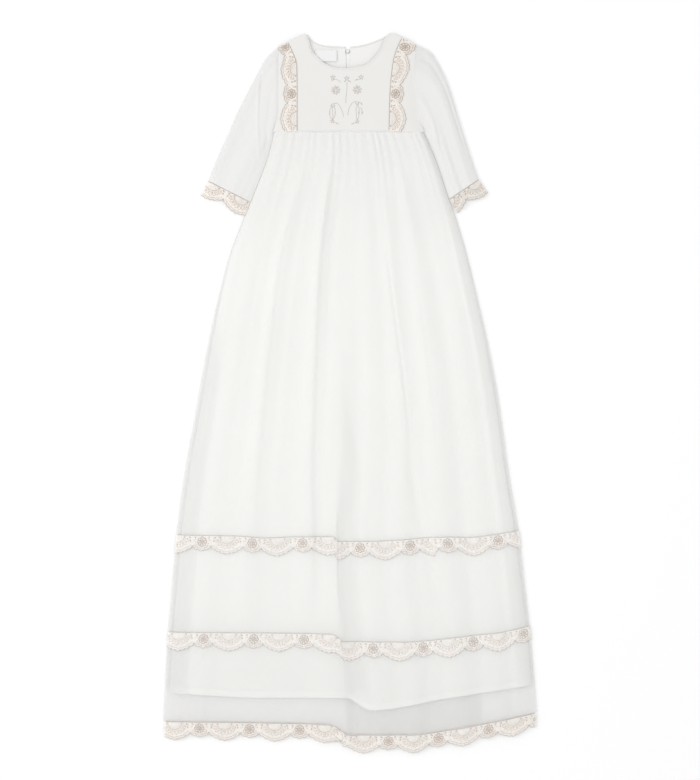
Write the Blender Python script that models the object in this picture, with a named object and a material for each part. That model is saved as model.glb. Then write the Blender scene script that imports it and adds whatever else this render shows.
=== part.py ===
"""A long christening gown of sheer cloth over a lining, laid flat on its back.

Row frame: metres, +X to the viewer's right, +Y towards the neck, +Z up off the surface.
The origin is the middle of the gown's footprint, on the surface that it lies on.
Every size below is in millimetres and is scaled once, when a mesh is written.
"""

import math
from collections import namedtuple

import bmesh
import bpy
import numpy as np

MM = 0.001

# Cloth walls, and the gaps between layers and at seams
CLOTH = 1.2
BODICE_CLOTH = 1.6
LACE_CLOTH = 1.0
LAYER_GAP = 0.4
TRIM_GAP = 0.5
SEAM_GAP = 0.3
SHARP_ANGLE = math.radians(50)

# Heights of the layers' undersides, from the surface up
BACK_Z = 0.0
LINING_BACK_Z = BACK_Z + CLOTH + LAYER_GAP
LINING_FRONT_Z = LINING_BACK_Z + CLOTH + LAYER_GAP
FRONT_Z = LINING_FRONT_Z + CLOTH + LAYER_GAP
SIDE_SEAM_Z = BACK_Z + CLOTH + LAYER_GAP

# Lengths down the gown
WAIST_Y = 365.5
HEM_Y = -459.4
SKIRT_LENGTH = WAIST_Y - HEM_Y
UPPER_TIER_DOWN = 564.0
LOWER_TIER_DOWN = 700.0
LINING_SHORT = 37.0

# Lace: one repeat is a wide scallop with a soft point in its middle and a narrow one
LACE_REPEAT = 70.0
WIDE_SCALLOP = 44.0
LACE_VALLEY = 15.5
LACE_WIDE = 25.5
LACE_NARROW = 21.5
SCALLOP_POINT = 0.07
SCALLOP_FULLNESS = 0.8
UPPER_LACE_START = 19.5
LOWER_LACE_START = 6.0
HEM_LACE_START = 7.3
PLEAT_ACROSS = 0.48
CREASE_ACROSS = 0.765

# How much of each lace is taken up in the middle pleat and in the crease to its right, in all
UPPER_LACE_LAGS = (10.0, -7.8)
LOWER_LACE_LAGS = (26.0, 26.0)
HEM_LACE_LAGS = (-15.7, -15.7)
HEM_LACE_SINKS = 0.55

# Skirt folds and gathers
GATHERS = 20
GATHER_HEIGHT = 1.9
GATHER_UNEVEN = 0.28
GATHER_SWELLS = 3.3
GatherDown = namedtuple("GatherDown", "down strength")
GATHERS_DOWN = [
    GatherDown(0.0, 0.45),
    GatherDown(0.014, 1.0),
    GatherDown(0.05, 0.9),
    GatherDown(0.14, 0.45),
    GatherDown(0.26, 0.0),
]
COARSE_COLUMNS = 40
FINE_COLUMNS = 2 * COARSE_COLUMNS
LACE_COLUMNS = 3 * COARSE_COLUMNS
LINING_COLUMNS = 20
BACK_COLUMNS = 16
SIDE_COLUMN = 1 / COARSE_COLUMNS

Side = namedtuple("Side", "y left right")
SKIRT_SIDES = [
    Side(366, -107.8, 104.5),
    Side(340, -114.0, 116.2),
    Side(312, -123.2, 126.8),
    Side(280, -135.8, 137.2),
    Side(242, -150.5, 150.0),
    Side(200, -166.6, 162.5),
    Side(144, -182.0, 176.5),
    Side(60, -201.0, 196.0),
    Side(-24, -216.5, 211.0),
    Side(-108, -231.5, 222.5),
    Side(-192, -243.0, 236.5),
    Side(-276, -250.5, 246.5),
    Side(-360, -257.0, 255.5),
    Side(-416, -260.0, 260.2),
    Side(-461, -262.5, 263.4),
]

# How far a cross line of the skirt hangs below the left side's level, at the hem
Drop = namedtuple("Drop", "across down")
HEM_DROPS = [
    Drop(0.00, 0.0),
    Drop(0.20, 1.5),
    Drop(0.45, 4.5),
    Drop(0.50, 19.0),
    Drop(0.66, 18.5),
    Drop(0.82, 7.0),
    Drop(1.00, -12.0),
]
BACK_DROPS = [
    Drop(0.00, 0.0),
    Drop(0.25, 1.5),
    Drop(0.44, 4.0),
    Drop(0.50, 18.0),
    Drop(0.66, 18.0),
    Drop(0.82, 6.5),
    Drop(1.00, -12.0),
]
LINING_DROPS = [
    Drop(0.00, -3.0),
    Drop(0.27, 4.6),
    Drop(0.49, 4.6),
    Drop(0.56, 23.8),
    Drop(0.76, 5.9),
    Drop(1.00, -15.5),
]
DROP_POWER = 1.9

# How far each lace row wanders below its own level across the skirt
UPPER_WANDER = [
    Drop(0.00, 0.0),
    Drop(0.18, 0.9),
    Drop(0.26, 3.2),
    Drop(0.34, 1.2),
    Drop(0.46, 0.0),
    Drop(0.60, -0.2),
    Drop(0.66, -1.7),
    Drop(0.73, -2.8),
    Drop(0.79, -1.9),
    Drop(0.88, 2.2),
    Drop(0.93, 1.6),
    Drop(1.00, 0.0),
]
LOWER_WANDER = [
    Drop(0.00, 0.0),
    Drop(0.46, -0.6),
    Drop(0.72, 0.4),
    Drop(0.86, 1.4),
    Drop(0.92, 2.6),
    Drop(1.00, 0.4),
]

# The middle pleat draws the cloth on its two sides together
Tuck = namedtuple("Tuck", "across shift")
TUCKS = [Tuck(0.0, 0.0), Tuck(0.45, 0.0105), Tuck(0.50, -0.0275), Tuck(1.0, 0.0)]
TuckDown = namedtuple("TuckDown", "down share")
TUCKS_DOWN = [
    TuckDown(0.0, 0.0),
    TuckDown(0.35, 0.3),
    TuckDown(0.60, 1.0),
    TuckDown(0.74, 1.0),
    TuckDown(0.85, 0.45),
    TuckDown(1.0, 0.0),
]

# Long folds: place across at the waist and at the hem, reach to each side, height,
# and the shares of the length where each starts and ends
Fold = namedtuple("Fold", "waist hem left right height start end")
FOLDS = [
    Fold(0.100, 0.100, 0.050, 0.050, 1.8, 0.15, 1.2),
    Fold(0.225, 0.200, 0.050, 0.060, 2.9, 0.02, 0.95),
    Fold(0.375, 0.375, 0.050, 0.050, 3.6, 0.00, 0.90),
    Fold(0.450, 0.450, 0.060, 0.050, 3.0, 0.30, 1.6),
    Fold(0.575, 0.600, 0.060, 0.060, 1.9, 0.05, 1.1),
    Fold(0.675, 0.675, 0.055, 0.045, 2.8, 0.05, 1.3),
    Fold(0.775, 0.800, 0.050, 0.060, 3.4, 0.02, 1.3),
    Fold(0.900, 0.900, 0.050, 0.045, 1.8, 0.20, 1.2),
]

FOLD_RISE = 0.12
FOLD_FADE = 0.2

# Cross lines of the skirt's mesh, in shares of its length, fine where it is gathered
FINE_ROWS = (0.0, 0.014, 0.034, 0.062, 0.10)
FADING_ROWS = (0.135, 0.185, 0.245)
COARSE_ROWS = (0.32, 0.40, 0.48, 0.56, 0.63)
TRIM_ROWS_STEP = 0.045

# Bodice, in plan: points from the waist seam up to the shoulder
Point = namedtuple("Point", "x y")
BODICE_FOOT_Y = WAIST_Y + SEAM_GAP
ARMHOLE_LEFT = [
    Point(-107.8, BODICE_FOOT_Y),
    Point(-102.5, 386.0),
    Point(-100.8, 411.0),
    Point(-100.6, 446.0),
    Point(-99.8, 484.5),
]
ARMHOLE_RIGHT = [
    Point(104.5, BODICE_FOOT_Y),
    Point(95.0, 388.0),
    Point(90.5, 416.0),
    Point(89.5, 450.0),
    Point(92.0, 487.5),
]
YOKE_SEAM_LEFT = [
    Point(-73.6, BODICE_FOOT_Y),
    Point(-73.6, 420.0),
    Point(-74.2, 458.0),
    Point(-80.5, 478.0),
    Point(-87.0, 491.2),
]
YOKE_SEAM_RIGHT = [
    Point(54.0, BODICE_FOOT_Y),
    Point(55.5, 420.0),
    Point(60.0, 464.0),
    Point(66.0, 484.0),
    Point(72.5, 497.6),
]
NECK_LEFT = Point(-63.0, 503.5)
NECK_RIGHT = Point(58.8, 504.2)
FRONT_NECK = [
    NECK_LEFT,
    Point(-59.0, 494.0),
    Point(-54.5, 478.6),
    Point(-46.5, 469.5),
    Point(-33.8, 458.8),
    Point(-21.0, 454.3),
    Point(-4.5, 453.3),
    Point(9.3, 455.0),
    Point(23.5, 458.8),
    Point(35.2, 469.5),
    Point(44.0, 481.3),
    Point(49.5, 494.7),
    NECK_RIGHT,
]
BACK_NECK = [
    NECK_LEFT,
    Point(-57.0, 496.0),
    Point(-49.1, 489.2),
    Point(-35.7, 485.4),
    Point(-9.0, 483.6),
    Point(4.2, 483.8),
    Point(17.9, 486.0),
    Point(35.7, 491.5),
    Point(48.0, 497.0),
    NECK_RIGHT,
]
BODICE_FRONT_FOOT_Z = 5.2
BODICE_EDGE_Z = BODICE_CLOTH + 2 * LAYER_GAP
ARMHOLE_TURN = 20.0
SHOULDER_FALL = 1.5
BODICE_ROWS = 6
SHOULDER_SLOPE = 0.5
SHOULDER_STARTS = 0.6
YOKE_LACE_STEPS = 32
YOKE_LACE_START = 4.0
YOKE_LACE_SIZE = 0.92
LEFT_LACE_AT_SHOULDER = 0.75
RIGHT_LACE_AT_SHOULDER = 1.2
NECK_STEPS = 28
SIDE_PANEL_STEPS = 6
BACK_EXTRA_ROWS = (0.15, 0.3, 0.75)

# Back opening: a slit that the button and its loop close at the neck
BACK_MIDDLE_X = -3.2
SLIT_HALF = 2.5
BUTTON_GAP_HALF = 3.6
BUTTON_GAP_LENGTH = 9.0
SLIT_LENGTH = 62.0
SLIT_TAPER = 9.0
SLIT_STEP = 2.0
BUTTON_DOWN = 5.0
BUTTON_RADIUS = 2.1
BUTTON_HEIGHT = 2.4
BUTTON_ROUND = 0.5
LOOP_WIRE = 0.4
LABEL_WIDTH = 31.0
LABEL_HEIGHT = 16.0
LABEL_CORNER = Point(-49.0, 464.5)
LABEL_CLOTH = 0.8
BINDING_WIDTH = 2.4
BINDING_CLOTH = 2.0
BINDING_EDGE = 0.6

# Sleeves: the two ends of each section in plan, from the armhole to the cuff seam, and its height
Section = namedtuple("Section", "outer_x outer_y inner_y height")
SLEEVE_LEFT = [
    Section(-100.4, 484.4, 366.4, 5.4),
    Section(-116.2, 469.7, 352.8, 5.9),
    Section(-129.5, 446.6, 337.4, 6.0),
    Section(-144.2, 418.6, 319.2, 6.0),
    Section(-158.2, 390.6, 302.4, 5.9),
    Section(-172.9, 357.0, 288.4, 5.8),
    Section(-186.9, 324.8, 277.2, 5.7),
    Section(-198.1, 296.8, 267.4, 5.6),
]
SLEEVE_RIGHT = [
    Section(92.6, 487.4, 366.4, 5.4),
    Section(110.6, 479.5, 353.5, 5.9),
    Section(126.0, 456.4, 339.0, 6.0),
    Section(137.9, 429.8, 323.4, 6.0),
    Section(147.0, 400.4, 308.0, 5.9),
    Section(156.8, 368.2, 294.0, 5.8),
    Section(168.0, 333.2, 282.8, 5.7),
    Section(179.9, 298.9, 271.6, 5.6),
]
SLEEVE_EDGE = 3.0
SLEEVE_COLUMNS = 8
SLEEVE_CLEARANCE = 0.9
ARMHOLE_FOLLOWS = 2
CUFF_COLUMNS = 16
CUFF_LACE_START = 14.0
CUFF_LACE_SIZE = 0.9
CUFF_FLARE = 2.0
CUFF_END_HEIGHT = 4.6

Finish = namedtuple("Finish", "colour roughness")
FINISHES = {
    "organza": Finish((0.93, 0.93, 0.92), 0.55),
    "lining": Finish((0.95, 0.95, 0.94), 0.7),
    "lace": Finish((0.89, 0.84, 0.78), 0.75),
    "binding": Finish((0.90, 0.90, 0.89), 0.6),
    "label": Finish((0.96, 0.96, 0.96), 0.5),
    "pearl": Finish((0.96, 0.95, 0.93), 0.25),
}


def column(table, name):
    """One named column of a table, as an array."""
    return np.array([getattr(row, name) for row in table], float)


def smooth(x, xs, ys):
    """A smooth curve through the points (xs, ys), read at x, with no overshoot between them."""
    xs = np.asarray(xs, float)
    ys = np.asarray(ys, float)
    x = np.clip(np.asarray(x, float), xs.min(), xs.max())
    if xs[0] > xs[-1]:
        xs, ys = xs[::-1], ys[::-1]
    step = np.diff(xs)
    slope = np.diff(ys) / step
    inner = np.where(
        slope[:-1] * slope[1:] > 0,
        2 * slope[:-1] * slope[1:] / (slope[:-1] + slope[1:] + 1e-12),
        0.0,
    )
    tangent = np.concatenate([[slope[0]], inner, [slope[-1]]])
    i = np.clip(np.searchsorted(xs, x, side="right") - 1, 0, len(step) - 1)
    h = step[i]
    u = (x - xs[i]) / h
    return (
        ys[i] * (1 + 2 * u) * (1 - u) ** 2
        + tangent[i] * h * u * (1 - u) ** 2
        + ys[i + 1] * u * u * (3 - 2 * u)
        + tangent[i + 1] * h * u * u * (u - 1)
    )


def along(points, share):
    """Points (x, y) at these shares of a polyline's length, on a smooth curve through its points."""
    xy = np.array([(p.x, p.y) for p in points], float)
    length = np.concatenate([[0], np.cumsum(np.hypot(*np.diff(xy, axis=0).T))])
    at = np.asarray(share, float) * length[-1]
    return np.stack([smooth(at, length, xy[:, 0]), smooth(at, length, xy[:, 1])], axis=-1)


def bump(distance, left, right):
    """A rounded ridge: 1 at distance 0, and 0 past its reach to the left or to the right."""
    reach = np.where(distance < 0, left, right)
    share = np.clip(np.abs(distance) / reach, 0, 1)
    return 0.5 * (1 + np.cos(math.pi * share))


def skirt_plan(across, down, drops=HEM_DROPS):
    """Plan point of the skirt at shares of its width and of its length."""
    across, down = np.broadcast_arrays(np.asarray(across, float), np.asarray(down, float))
    level = WAIST_Y - SKIRT_LENGTH * down
    fall = down**DROP_POWER
    tuck = np.interp(across, column(TUCKS, "across"), column(TUCKS, "shift"))
    share = across + tuck * smooth(down, column(TUCKS_DOWN, "down"), column(TUCKS_DOWN, "share"))
    ys = column(SKIRT_SIDES, "y")
    left = smooth(level - drops[0].down * fall, ys, column(SKIRT_SIDES, "left"))
    right = smooth(level - drops[-1].down * fall, ys, column(SKIRT_SIDES, "right"))
    drop = smooth(across, column(drops, "across"), column(drops, "down"))
    return left + share * (right - left), level - drop * fall


def skirt_folds(across, down):
    """Height of the long folds over the front's own level."""
    height = 0.0
    for fold in FOLDS:
        centre = fold.waist + (fold.hem - fold.waist) * down
        rise = np.clip((down - fold.start) / FOLD_RISE, 0, 1)
        fade = np.clip((fold.end - down) / FOLD_FADE, 0, 1)
        height = height + fold.height * rise * fade * bump(across - centre, fold.left, fold.right)
    return height


def skirt_gathers(across, down):
    """Height of the gathers under the waist seam, which open out and fade down the skirt."""
    strength = np.interp(down, column(GATHERS_DOWN, "down"), column(GATHERS_DOWN, "strength"))
    swell = np.sin(2 * math.pi * GATHER_SWELLS * across)
    uneven = 1 - GATHER_UNEVEN * (1 - swell)
    wave = 0.5 - 0.5 * np.cos(2 * math.pi * GATHERS * across)
    return GATHER_HEIGHT * strength * uneven * wave


def side_rise(across):
    """0 at a side seam and 1 from the first column of the mesh inwards."""
    return np.clip(np.minimum(across, 1 - across) / SIDE_COLUMN, 0, 1)


def front_floor(across, down):
    """Underside of the skirt's front without its gathers."""
    rise = side_rise(across)
    return SIDE_SEAM_Z + rise * (FRONT_Z - SIDE_SEAM_Z + skirt_folds(across, down))


def scallop_depth(run, start=0.0):
    """Depth of the lace at a distance along it."""
    at = np.mod(np.asarray(run, float) + start, LACE_REPEAT)
    narrow = LACE_REPEAT - WIDE_SCALLOP
    wide_share = np.clip(at / WIDE_SCALLOP, 0, 1)
    narrow_share = np.clip((at - WIDE_SCALLOP) / narrow, 0, 1)
    point = 1 + SCALLOP_POINT * np.exp(-(((wide_share - 0.5) / SCALLOP_POINT) ** 2))
    wide = (LACE_WIDE - LACE_VALLEY) * np.sin(math.pi * wide_share) ** SCALLOP_FULLNESS * point
    small = (LACE_NARROW - LACE_VALLEY) * np.sin(math.pi * narrow_share) ** SCALLOP_FULLNESS
    return LACE_VALLEY + np.where(at < WIDE_SCALLOP, wide, small)


def taken_up(columns, lags):
    """How much lace the folds have taken up before each place across."""
    return np.select([columns > CREASE_ACROSS, columns > PLEAT_ACROSS], [lags[1], lags[0]], 0.0)


def finish(obj, name):
    """Gives a piece its own plain material."""
    material = bpy.data.materials.new(f"{obj.name}_{name}")
    material.use_nodes = True
    shader = material.node_tree.nodes["Principled BSDF"]
    shader.inputs["Base Color"].default_value = (*FINISHES[name].colour, 1.0)
    shader.inputs["Roughness"].default_value = FINISHES[name].roughness
    shader.inputs["Metallic"].default_value = 0.0
    obj.data.materials.append(material)


def solid_from(name, build, finish_name):
    """Makes a named object from a function that fills a bmesh in millimetres."""
    shape = bmesh.new()
    build(shape)
    bmesh.ops.scale(shape, vec=(MM, MM, MM), verts=shape.verts)
    bmesh.ops.recalc_face_normals(shape, faces=shape.faces)
    mesh = bpy.data.meshes.new(name)
    shape.to_mesh(mesh)
    shape.free()
    obj = bpy.data.objects.new(name, mesh)
    bpy.context.scene.collection.objects.link(obj)
    finish(obj, finish_name)
    mesh.shade_smooth()
    mesh.set_sharp_from_angle(angle=SHARP_ANGLE)
    return obj


def bridge_rows(shape, upper, lower):
    """Faces between two rows of vertices. A row may have twice as many steps as the next."""
    if len(upper) == len(lower):
        for k in range(len(upper) - 1):
            shape.faces.new((upper[k], upper[k + 1], lower[k + 1], lower[k]))
        return
    for k in range(len(lower) - 1):
        left, middle, right = upper[2 * k], upper[2 * k + 1], upper[2 * k + 2]
        shape.faces.new((left, middle, lower[k]))
        shape.faces.new((middle, lower[k + 1], lower[k]))
        shape.faces.new((middle, right, lower[k + 1]))


def sheet(name, rows, finish_name):
    """A cloth wall from rows of (x, y, underside, top) points, closed at its four edges."""

    def build(shape):
        tops = [[shape.verts.new((p[0], p[1], p[3])) for p in row] for row in rows]
        feet = [[shape.verts.new((p[0], p[1], p[2])) for p in row] for row in rows]
        for layer in (tops, feet):
            for upper, lower in zip(layer, layer[1:]):
                bridge_rows(shape, upper, lower)
        for top, foot in ((tops[0], feet[0]), (tops[-1], feet[-1])):
            for k in range(len(top) - 1):
                shape.faces.new((top[k], top[k + 1], foot[k + 1], foot[k]))
        for k in range(len(rows) - 1):
            for side in (0, -1):
                shape.faces.new(
                    (tops[k][side], tops[k + 1][side], feet[k + 1][side], feet[k][side])
                )

    return solid_from(name, build, finish_name)


def tube(name, rings, finish_name):
    """A flattened tube of cloth from rings, each with its outer and its inner loop of (x, y, z) points."""

    def build(shape):
        outer = [[shape.verts.new(p) for p in ring[0]] for ring in rings]
        inner = [[shape.verts.new(p) for p in ring[1]] for ring in rings]
        count = len(outer[0])
        for wall in (outer, inner):
            for first, second in zip(wall, wall[1:]):
                for k in range(count):
                    n = (k + 1) % count
                    shape.faces.new((first[k], first[n], second[n], second[k]))
        for end in (0, -1):
            for k in range(count):
                n = (k + 1) % count
                shape.faces.new((outer[end][k], outer[end][n], inner[end][n], inner[end][k]))

    return solid_from(name, build, finish_name)


def skirt_row(columns, down, floor, drops=HEM_DROPS):
    """One row of a skirt sheet, with floor(across, down) giving its underside."""
    across = np.asarray(columns, float)
    x, y = skirt_plan(across, down, drops)
    under = floor(across, down) + 0 * across
    return list(zip(x, y, under, under + CLOTH))


def skirt_rows_down():
    """Shares of the length where the coarse rows lie, with the trims' own lines among them."""
    upper = UPPER_TIER_DOWN / SKIRT_LENGTH
    lower = LOWER_TIER_DOWN / SKIRT_LENGTH
    lining = 1 - LINING_SHORT / SKIRT_LENGTH
    between = (upper + lower + TRIM_ROWS_STEP) / 2
    trims = (upper, upper + TRIM_ROWS_STEP, between, lower, lower + TRIM_ROWS_STEP)
    return sorted((*COARSE_ROWS, *trims, lining, 1.0))


def make_skirt():
    """The sheer front and back of the skirt and the lining's front and back."""
    fine = np.linspace(0, 1, FINE_COLUMNS + 1)
    coarse = fine[::2]
    low_rows = skirt_rows_down()
    lining_end = 1 - LINING_SHORT / SKIRT_LENGTH

    def gathered_floor(across, down):
        return front_floor(across, down) + side_rise(across) * skirt_gathers(across, down)

    front = [skirt_row(fine, t, gathered_floor) for t in (*FINE_ROWS, *FADING_ROWS)]
    front += [skirt_row(coarse, t, front_floor) for t in low_rows]
    sheet("skirt_front", front, "organza")

    def flat_at(height):
        return lambda across, down: height

    flat_rows = (0.0, *FINE_ROWS[2:], FADING_ROWS[1], *low_rows)
    back_columns = np.linspace(0, 1, BACK_COLUMNS + 1)
    back = [skirt_row(back_columns, t, flat_at(BACK_Z), BACK_DROPS) for t in flat_rows]
    sheet("skirt_back", back, "organza")
    lining_columns = np.linspace(SIDE_COLUMN, 1 - SIDE_COLUMN, LINING_COLUMNS - 1)
    lining_rows = [t for t in flat_rows if t <= lining_end]
    for name, level in (("lining_front", LINING_FRONT_Z), ("lining_back", LINING_BACK_Z)):
        rows = [skirt_row(lining_columns, t, flat_at(level), LINING_DROPS) for t in lining_rows]
        sheet(name, rows, "lining")


def make_tier(name, down_mm, lace_start, lags, wander):
    """A lace trim that lies across the skirt's front, made from the panel's points, moved out."""
    columns = np.linspace(0, 1, LACE_COLUMNS + 1)
    coarse = np.linspace(0, 1, COARSE_COLUMNS + 1)
    start = down_mm / SKIRT_LENGTH
    end = start + TRIM_ROWS_STEP
    x, _ = skirt_plan(columns, start)
    depth = scallop_depth(x - x[0] - taken_up(columns, lags), lace_start)
    wandering = smooth(columns, column(wander, "across"), column(wander, "down"))
    rows = []
    for share in (0.0, 1.0):
        down = start + (wandering + share * depth) / SKIRT_LENGTH
        x, y = skirt_plan(columns, down)
        part = (down - start) / (end - start)
        under = (1 - part) * np.interp(columns, coarse, front_floor(coarse, start))
        under += part * np.interp(columns, coarse, front_floor(coarse, end))
        under += CLOTH + TRIM_GAP
        rows.append(list(zip(x, y, under, under + LACE_CLOTH)))
    sheet(name, rows, "lace")


def hem_row(columns, steps, drops):
    """Points of the hem at these shares across, on the straight steps that a skirt sheet has."""
    corners = np.linspace(0, 1, steps + 1)
    x, y = skirt_plan(corners, 1.0, drops)
    level = front_floor(corners, 1.0)
    return [np.interp(columns, corners, values) for values in (x, y, level)]


def make_hem_lace():
    """The lace edging that hangs below the hem, on the front and on the back."""
    columns = np.linspace(0, 1, LACE_COLUMNS + 1)
    x, y, under = hem_row(columns, COARSE_COLUMNS, HEM_DROPS)
    depth = scallop_depth(x - x[0] - taken_up(columns, HEM_LACE_LAGS), HEM_LACE_START)
    rest = BACK_Z + LACE_CLOTH + LAYER_GAP
    front = []
    for share in (0.0, 1.0):
        level = under + (rest - under) * HEM_LACE_SINKS * share
        front.append(list(zip(x, y - SEAM_GAP - share * depth, level, level + LACE_CLOTH)))
    sheet("hem_lace_front", front, "lace")
    columns, depth = columns[::2], depth[::2]
    x, y, _ = hem_row(columns, BACK_COLUMNS, BACK_DROPS)
    flat = 0 * x + BACK_Z
    back = []
    for share in (0.0, 1.0):
        back.append(list(zip(x, y - SEAM_GAP - share * depth, flat, flat + LACE_CLOTH)))
    sheet("hem_lace_back", back, "lace")


def edge_x(points, y):
    """Where an edge lies across, at a height y up the bodice."""
    return smooth(y, column(points, "y"), column(points, "x"))


def bodice_front_floor(x, y):
    """Underside of the bodice's front, which comes down on the back at shoulders and armholes."""
    share = (np.asarray(y, float) - BODICE_FOOT_Y) / (NECK_RIGHT.y - BODICE_FOOT_Y)
    level = 1 - np.clip(share, 0, 1) ** SHOULDER_FALL
    inside = np.minimum(x - edge_x(ARMHOLE_LEFT, y), edge_x(ARMHOLE_RIGHT, y) - x)
    turn = np.sin(0.5 * math.pi * np.clip(inside / ARMHOLE_TURN, 0, 1))
    return BODICE_EDGE_Z + (BODICE_FRONT_FOOT_Z - BODICE_EDGE_Z) * level * turn


def panel(name, left, right, top, up, floor):
    """A panel between a left and a right edge, from the waist seam up to its top line."""
    lengths = np.concatenate([[0], np.cumsum(np.hypot(*np.diff(top, axis=0).T))])
    u = (lengths / lengths[-1])[:, None]
    rows = []
    for k, share in enumerate(up):
        sides = (1 - u) * left[k] + u * right[k]
        foot = (1 - u) * left[0] + u * right[0]
        ends = (1 - share) * foot + share * top
        corner = (1 - share) * foot + share * ((1 - u) * top[0] + u * top[-1])
        xy = sides + ends - corner
        under = floor(xy[:, 0], xy[:, 1]) + 0 * xy[:, 1]
        rows.append(list(zip(xy[:, 0], xy[:, 1], under, under + BODICE_CLOTH)))
    sheet(name, rows, "organza")


def moved(points, shift):
    """The same points, moved sideways."""
    return [Point(p.x + shift, p.y) for p in points]


def make_bodice_front():
    """The plain middle panel and the two side panels that carry the lace."""
    up = np.linspace(0, 1, BODICE_ROWS + 1)
    half = SEAM_GAP / 2
    left = along(moved(YOKE_SEAM_LEFT, half), up)
    right = along(moved(YOKE_SEAM_RIGHT, -half), up)
    neck = along(FRONT_NECK, np.linspace(0, 1, NECK_STEPS + 1))
    top = np.vstack([left[-1], neck, right[-1]])
    panel("bodice_front_center", left, right, top, up, bodice_front_floor)
    across = np.linspace(0, 1, SIDE_PANEL_STEPS + 1)[:, None]
    for name, left_edge, right_edge in (
        ("bodice_front_left", ARMHOLE_LEFT, moved(YOKE_SEAM_LEFT, -half)),
        ("bodice_front_right", moved(YOKE_SEAM_RIGHT, half), ARMHOLE_RIGHT),
    ):
        left, right = along(left_edge, up), along(right_edge, up)
        top = (1 - across) * left[-1] + across * right[-1]
        panel(name, left, right, top, up, bodice_front_floor)


def back_neck_middle():
    """Height of the back neckline at the slit."""
    return float(edge_x([Point(p.y, p.x) for p in BACK_NECK], BACK_MIDDLE_X))


def slit_edge(side):
    """Edge of a back panel at the middle opening, from the waist seam up to the neck."""
    top = back_neck_middle()
    steps = (
        (SEAM_GAP / 2, BODICE_FOOT_Y),
        (SEAM_GAP / 2, top - SLIT_LENGTH),
        (SLIT_HALF, top - SLIT_LENGTH + SLIT_TAPER),
        (SLIT_HALF, top - BUTTON_GAP_LENGTH - SLIT_STEP),
        (BUTTON_GAP_HALF, top - BUTTON_GAP_LENGTH),
        (BUTTON_GAP_HALF, top),
    )
    return np.array([(BACK_MIDDLE_X + side * half, y) for half, y in steps])


def back_neck_half(side):
    """Points along one half of the back neckline, from the shoulder to the slit."""
    slit_top = slit_edge(side)[-1]
    half = [p for p in BACK_NECK if side * (p.x - slit_top[0]) > SLIT_STEP]
    line = [*half, Point(*slit_top)] if side < 0 else [*half[::-1], Point(*slit_top)]
    return along(line, np.linspace(0, 1, NECK_STEPS // 2 + 1))


def make_bodice_back():
    """The two halves of the back, with the slit between them."""

    def flat(x, y):
        return BACK_Z

    for name, armhole, side in (
        ("bodice_back_left", ARMHOLE_LEFT, -1),
        ("bodice_back_right", ARMHOLE_RIGHT, 1),
    ):
        slit = slit_edge(side)
        heights = (slit[:, 1] - slit[0, 1]) / (slit[-1, 1] - slit[0, 1])
        up = np.sort(np.concatenate([heights, BACK_EXTRA_ROWS]))
        middle = np.stack([np.interp(up, heights, slit[:, 0]), np.interp(up, heights, slit[:, 1])], 1)
        arm = along(armhole, up)
        top = np.vstack([arm[-1], back_neck_half(side)])
        if side < 0:
            panel(name, arm, middle, top, up, flat)
        else:
            panel(name, middle, arm, top[::-1], up, flat)


def make_yoke_lace(name, seam, side, at_shoulder):
    """A lace trim sewn along a yoke seam, with its scallops towards the armhole."""
    share = np.linspace(0, 1, YOKE_LACE_STEPS + 1)
    line = along(seam, share)
    run = np.concatenate([[0], np.cumsum(np.hypot(*np.diff(line, axis=0).T))])
    depth = scallop_depth(run, YOKE_LACE_START) * YOKE_LACE_SIZE
    near_shoulder = np.clip((share - SHOULDER_STARTS) / (1 - SHOULDER_STARTS), 0, 1)
    depth = depth * (1 + (at_shoulder - 1) * near_shoulder)
    rows = []
    for part in (0.0, 0.5, 1.0):
        x = line[:, 0] + side * (SEAM_GAP + part * (depth - SEAM_GAP))
        y = line[:, 1] - SHOULDER_SLOPE * part * depth * near_shoulder**2
        under = bodice_front_floor(x, y) + BODICE_CLOTH + LAYER_GAP
        rows.append(list(zip(x, y, under, under + LACE_CLOTH)))
    sheet(name, rows, "lace")


def skirt_side_x(y, side):
    """Where the skirt's side edge lies, at a height y."""
    return smooth(y, column(SKIRT_SIDES, "y"), column(SKIRT_SIDES, "right" if side > 0 else "left"))


def section_loops(plan, width, height, columns, wall):
    """Outer and inner loops of a flattened tube's section, flat underneath and arched on top."""
    place = np.linspace(-1, 1, columns + 1)
    arch = SLEEVE_EDGE + (height - SLEEVE_EDGE) * np.sqrt(1 - place**2)
    shrink = 1 - 2 * wall / width
    top = [(*plan(e), z) for e, z in zip(place, arch)]
    foot = [(*plan(e), 0.0) for e in place[::-1]]
    inner_top = [(*plan(e * shrink), z - wall) for e, z in zip(place, arch)]
    inner_foot = [(*plan(e * shrink), wall) for e in place[::-1]]
    return top + foot, inner_top + inner_foot


def sleeve_ends(section, side):
    """The outer and the inner end of a sleeve section in plan, beside the skirt at the inner one."""
    inner_x = skirt_side_x(section.inner_y, side) + side * SLEEVE_CLEARANCE
    return np.array([section.outer_x, section.outer_y]), np.array([inner_x, section.inner_y])


def make_sleeve(name, sections, armhole, side):
    """A sleeve: a tube whose first ring follows the armhole and whose last ends at the cuff seam."""
    rings = []
    hole = along(armhole[::-1], np.linspace(0, 1, 2 * SLEEVE_COLUMNS + 1))
    chord = np.linspace(hole[0], hole[-1], 2 * SLEEVE_COLUMNS + 1)
    bend = (hole - chord)[:, 0]
    for k, section in enumerate(sections):
        outer, inner = sleeve_ends(section, side)
        follow = max(0.0, 1 - k / ARMHOLE_FOLLOWS)

        def plan(place, outer=outer, inner=inner, follow=follow):
            share = (place + 1) / 2
            x, y = outer + share * (inner - outer)
            return x + follow * np.interp(share, np.linspace(0, 1, len(bend)), bend), y

        width = np.linalg.norm(inner - outer)
        rings.append(section_loops(plan, width, section.height, SLEEVE_COLUMNS, CLOTH))
    tube(name, rings, "organza")


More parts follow.
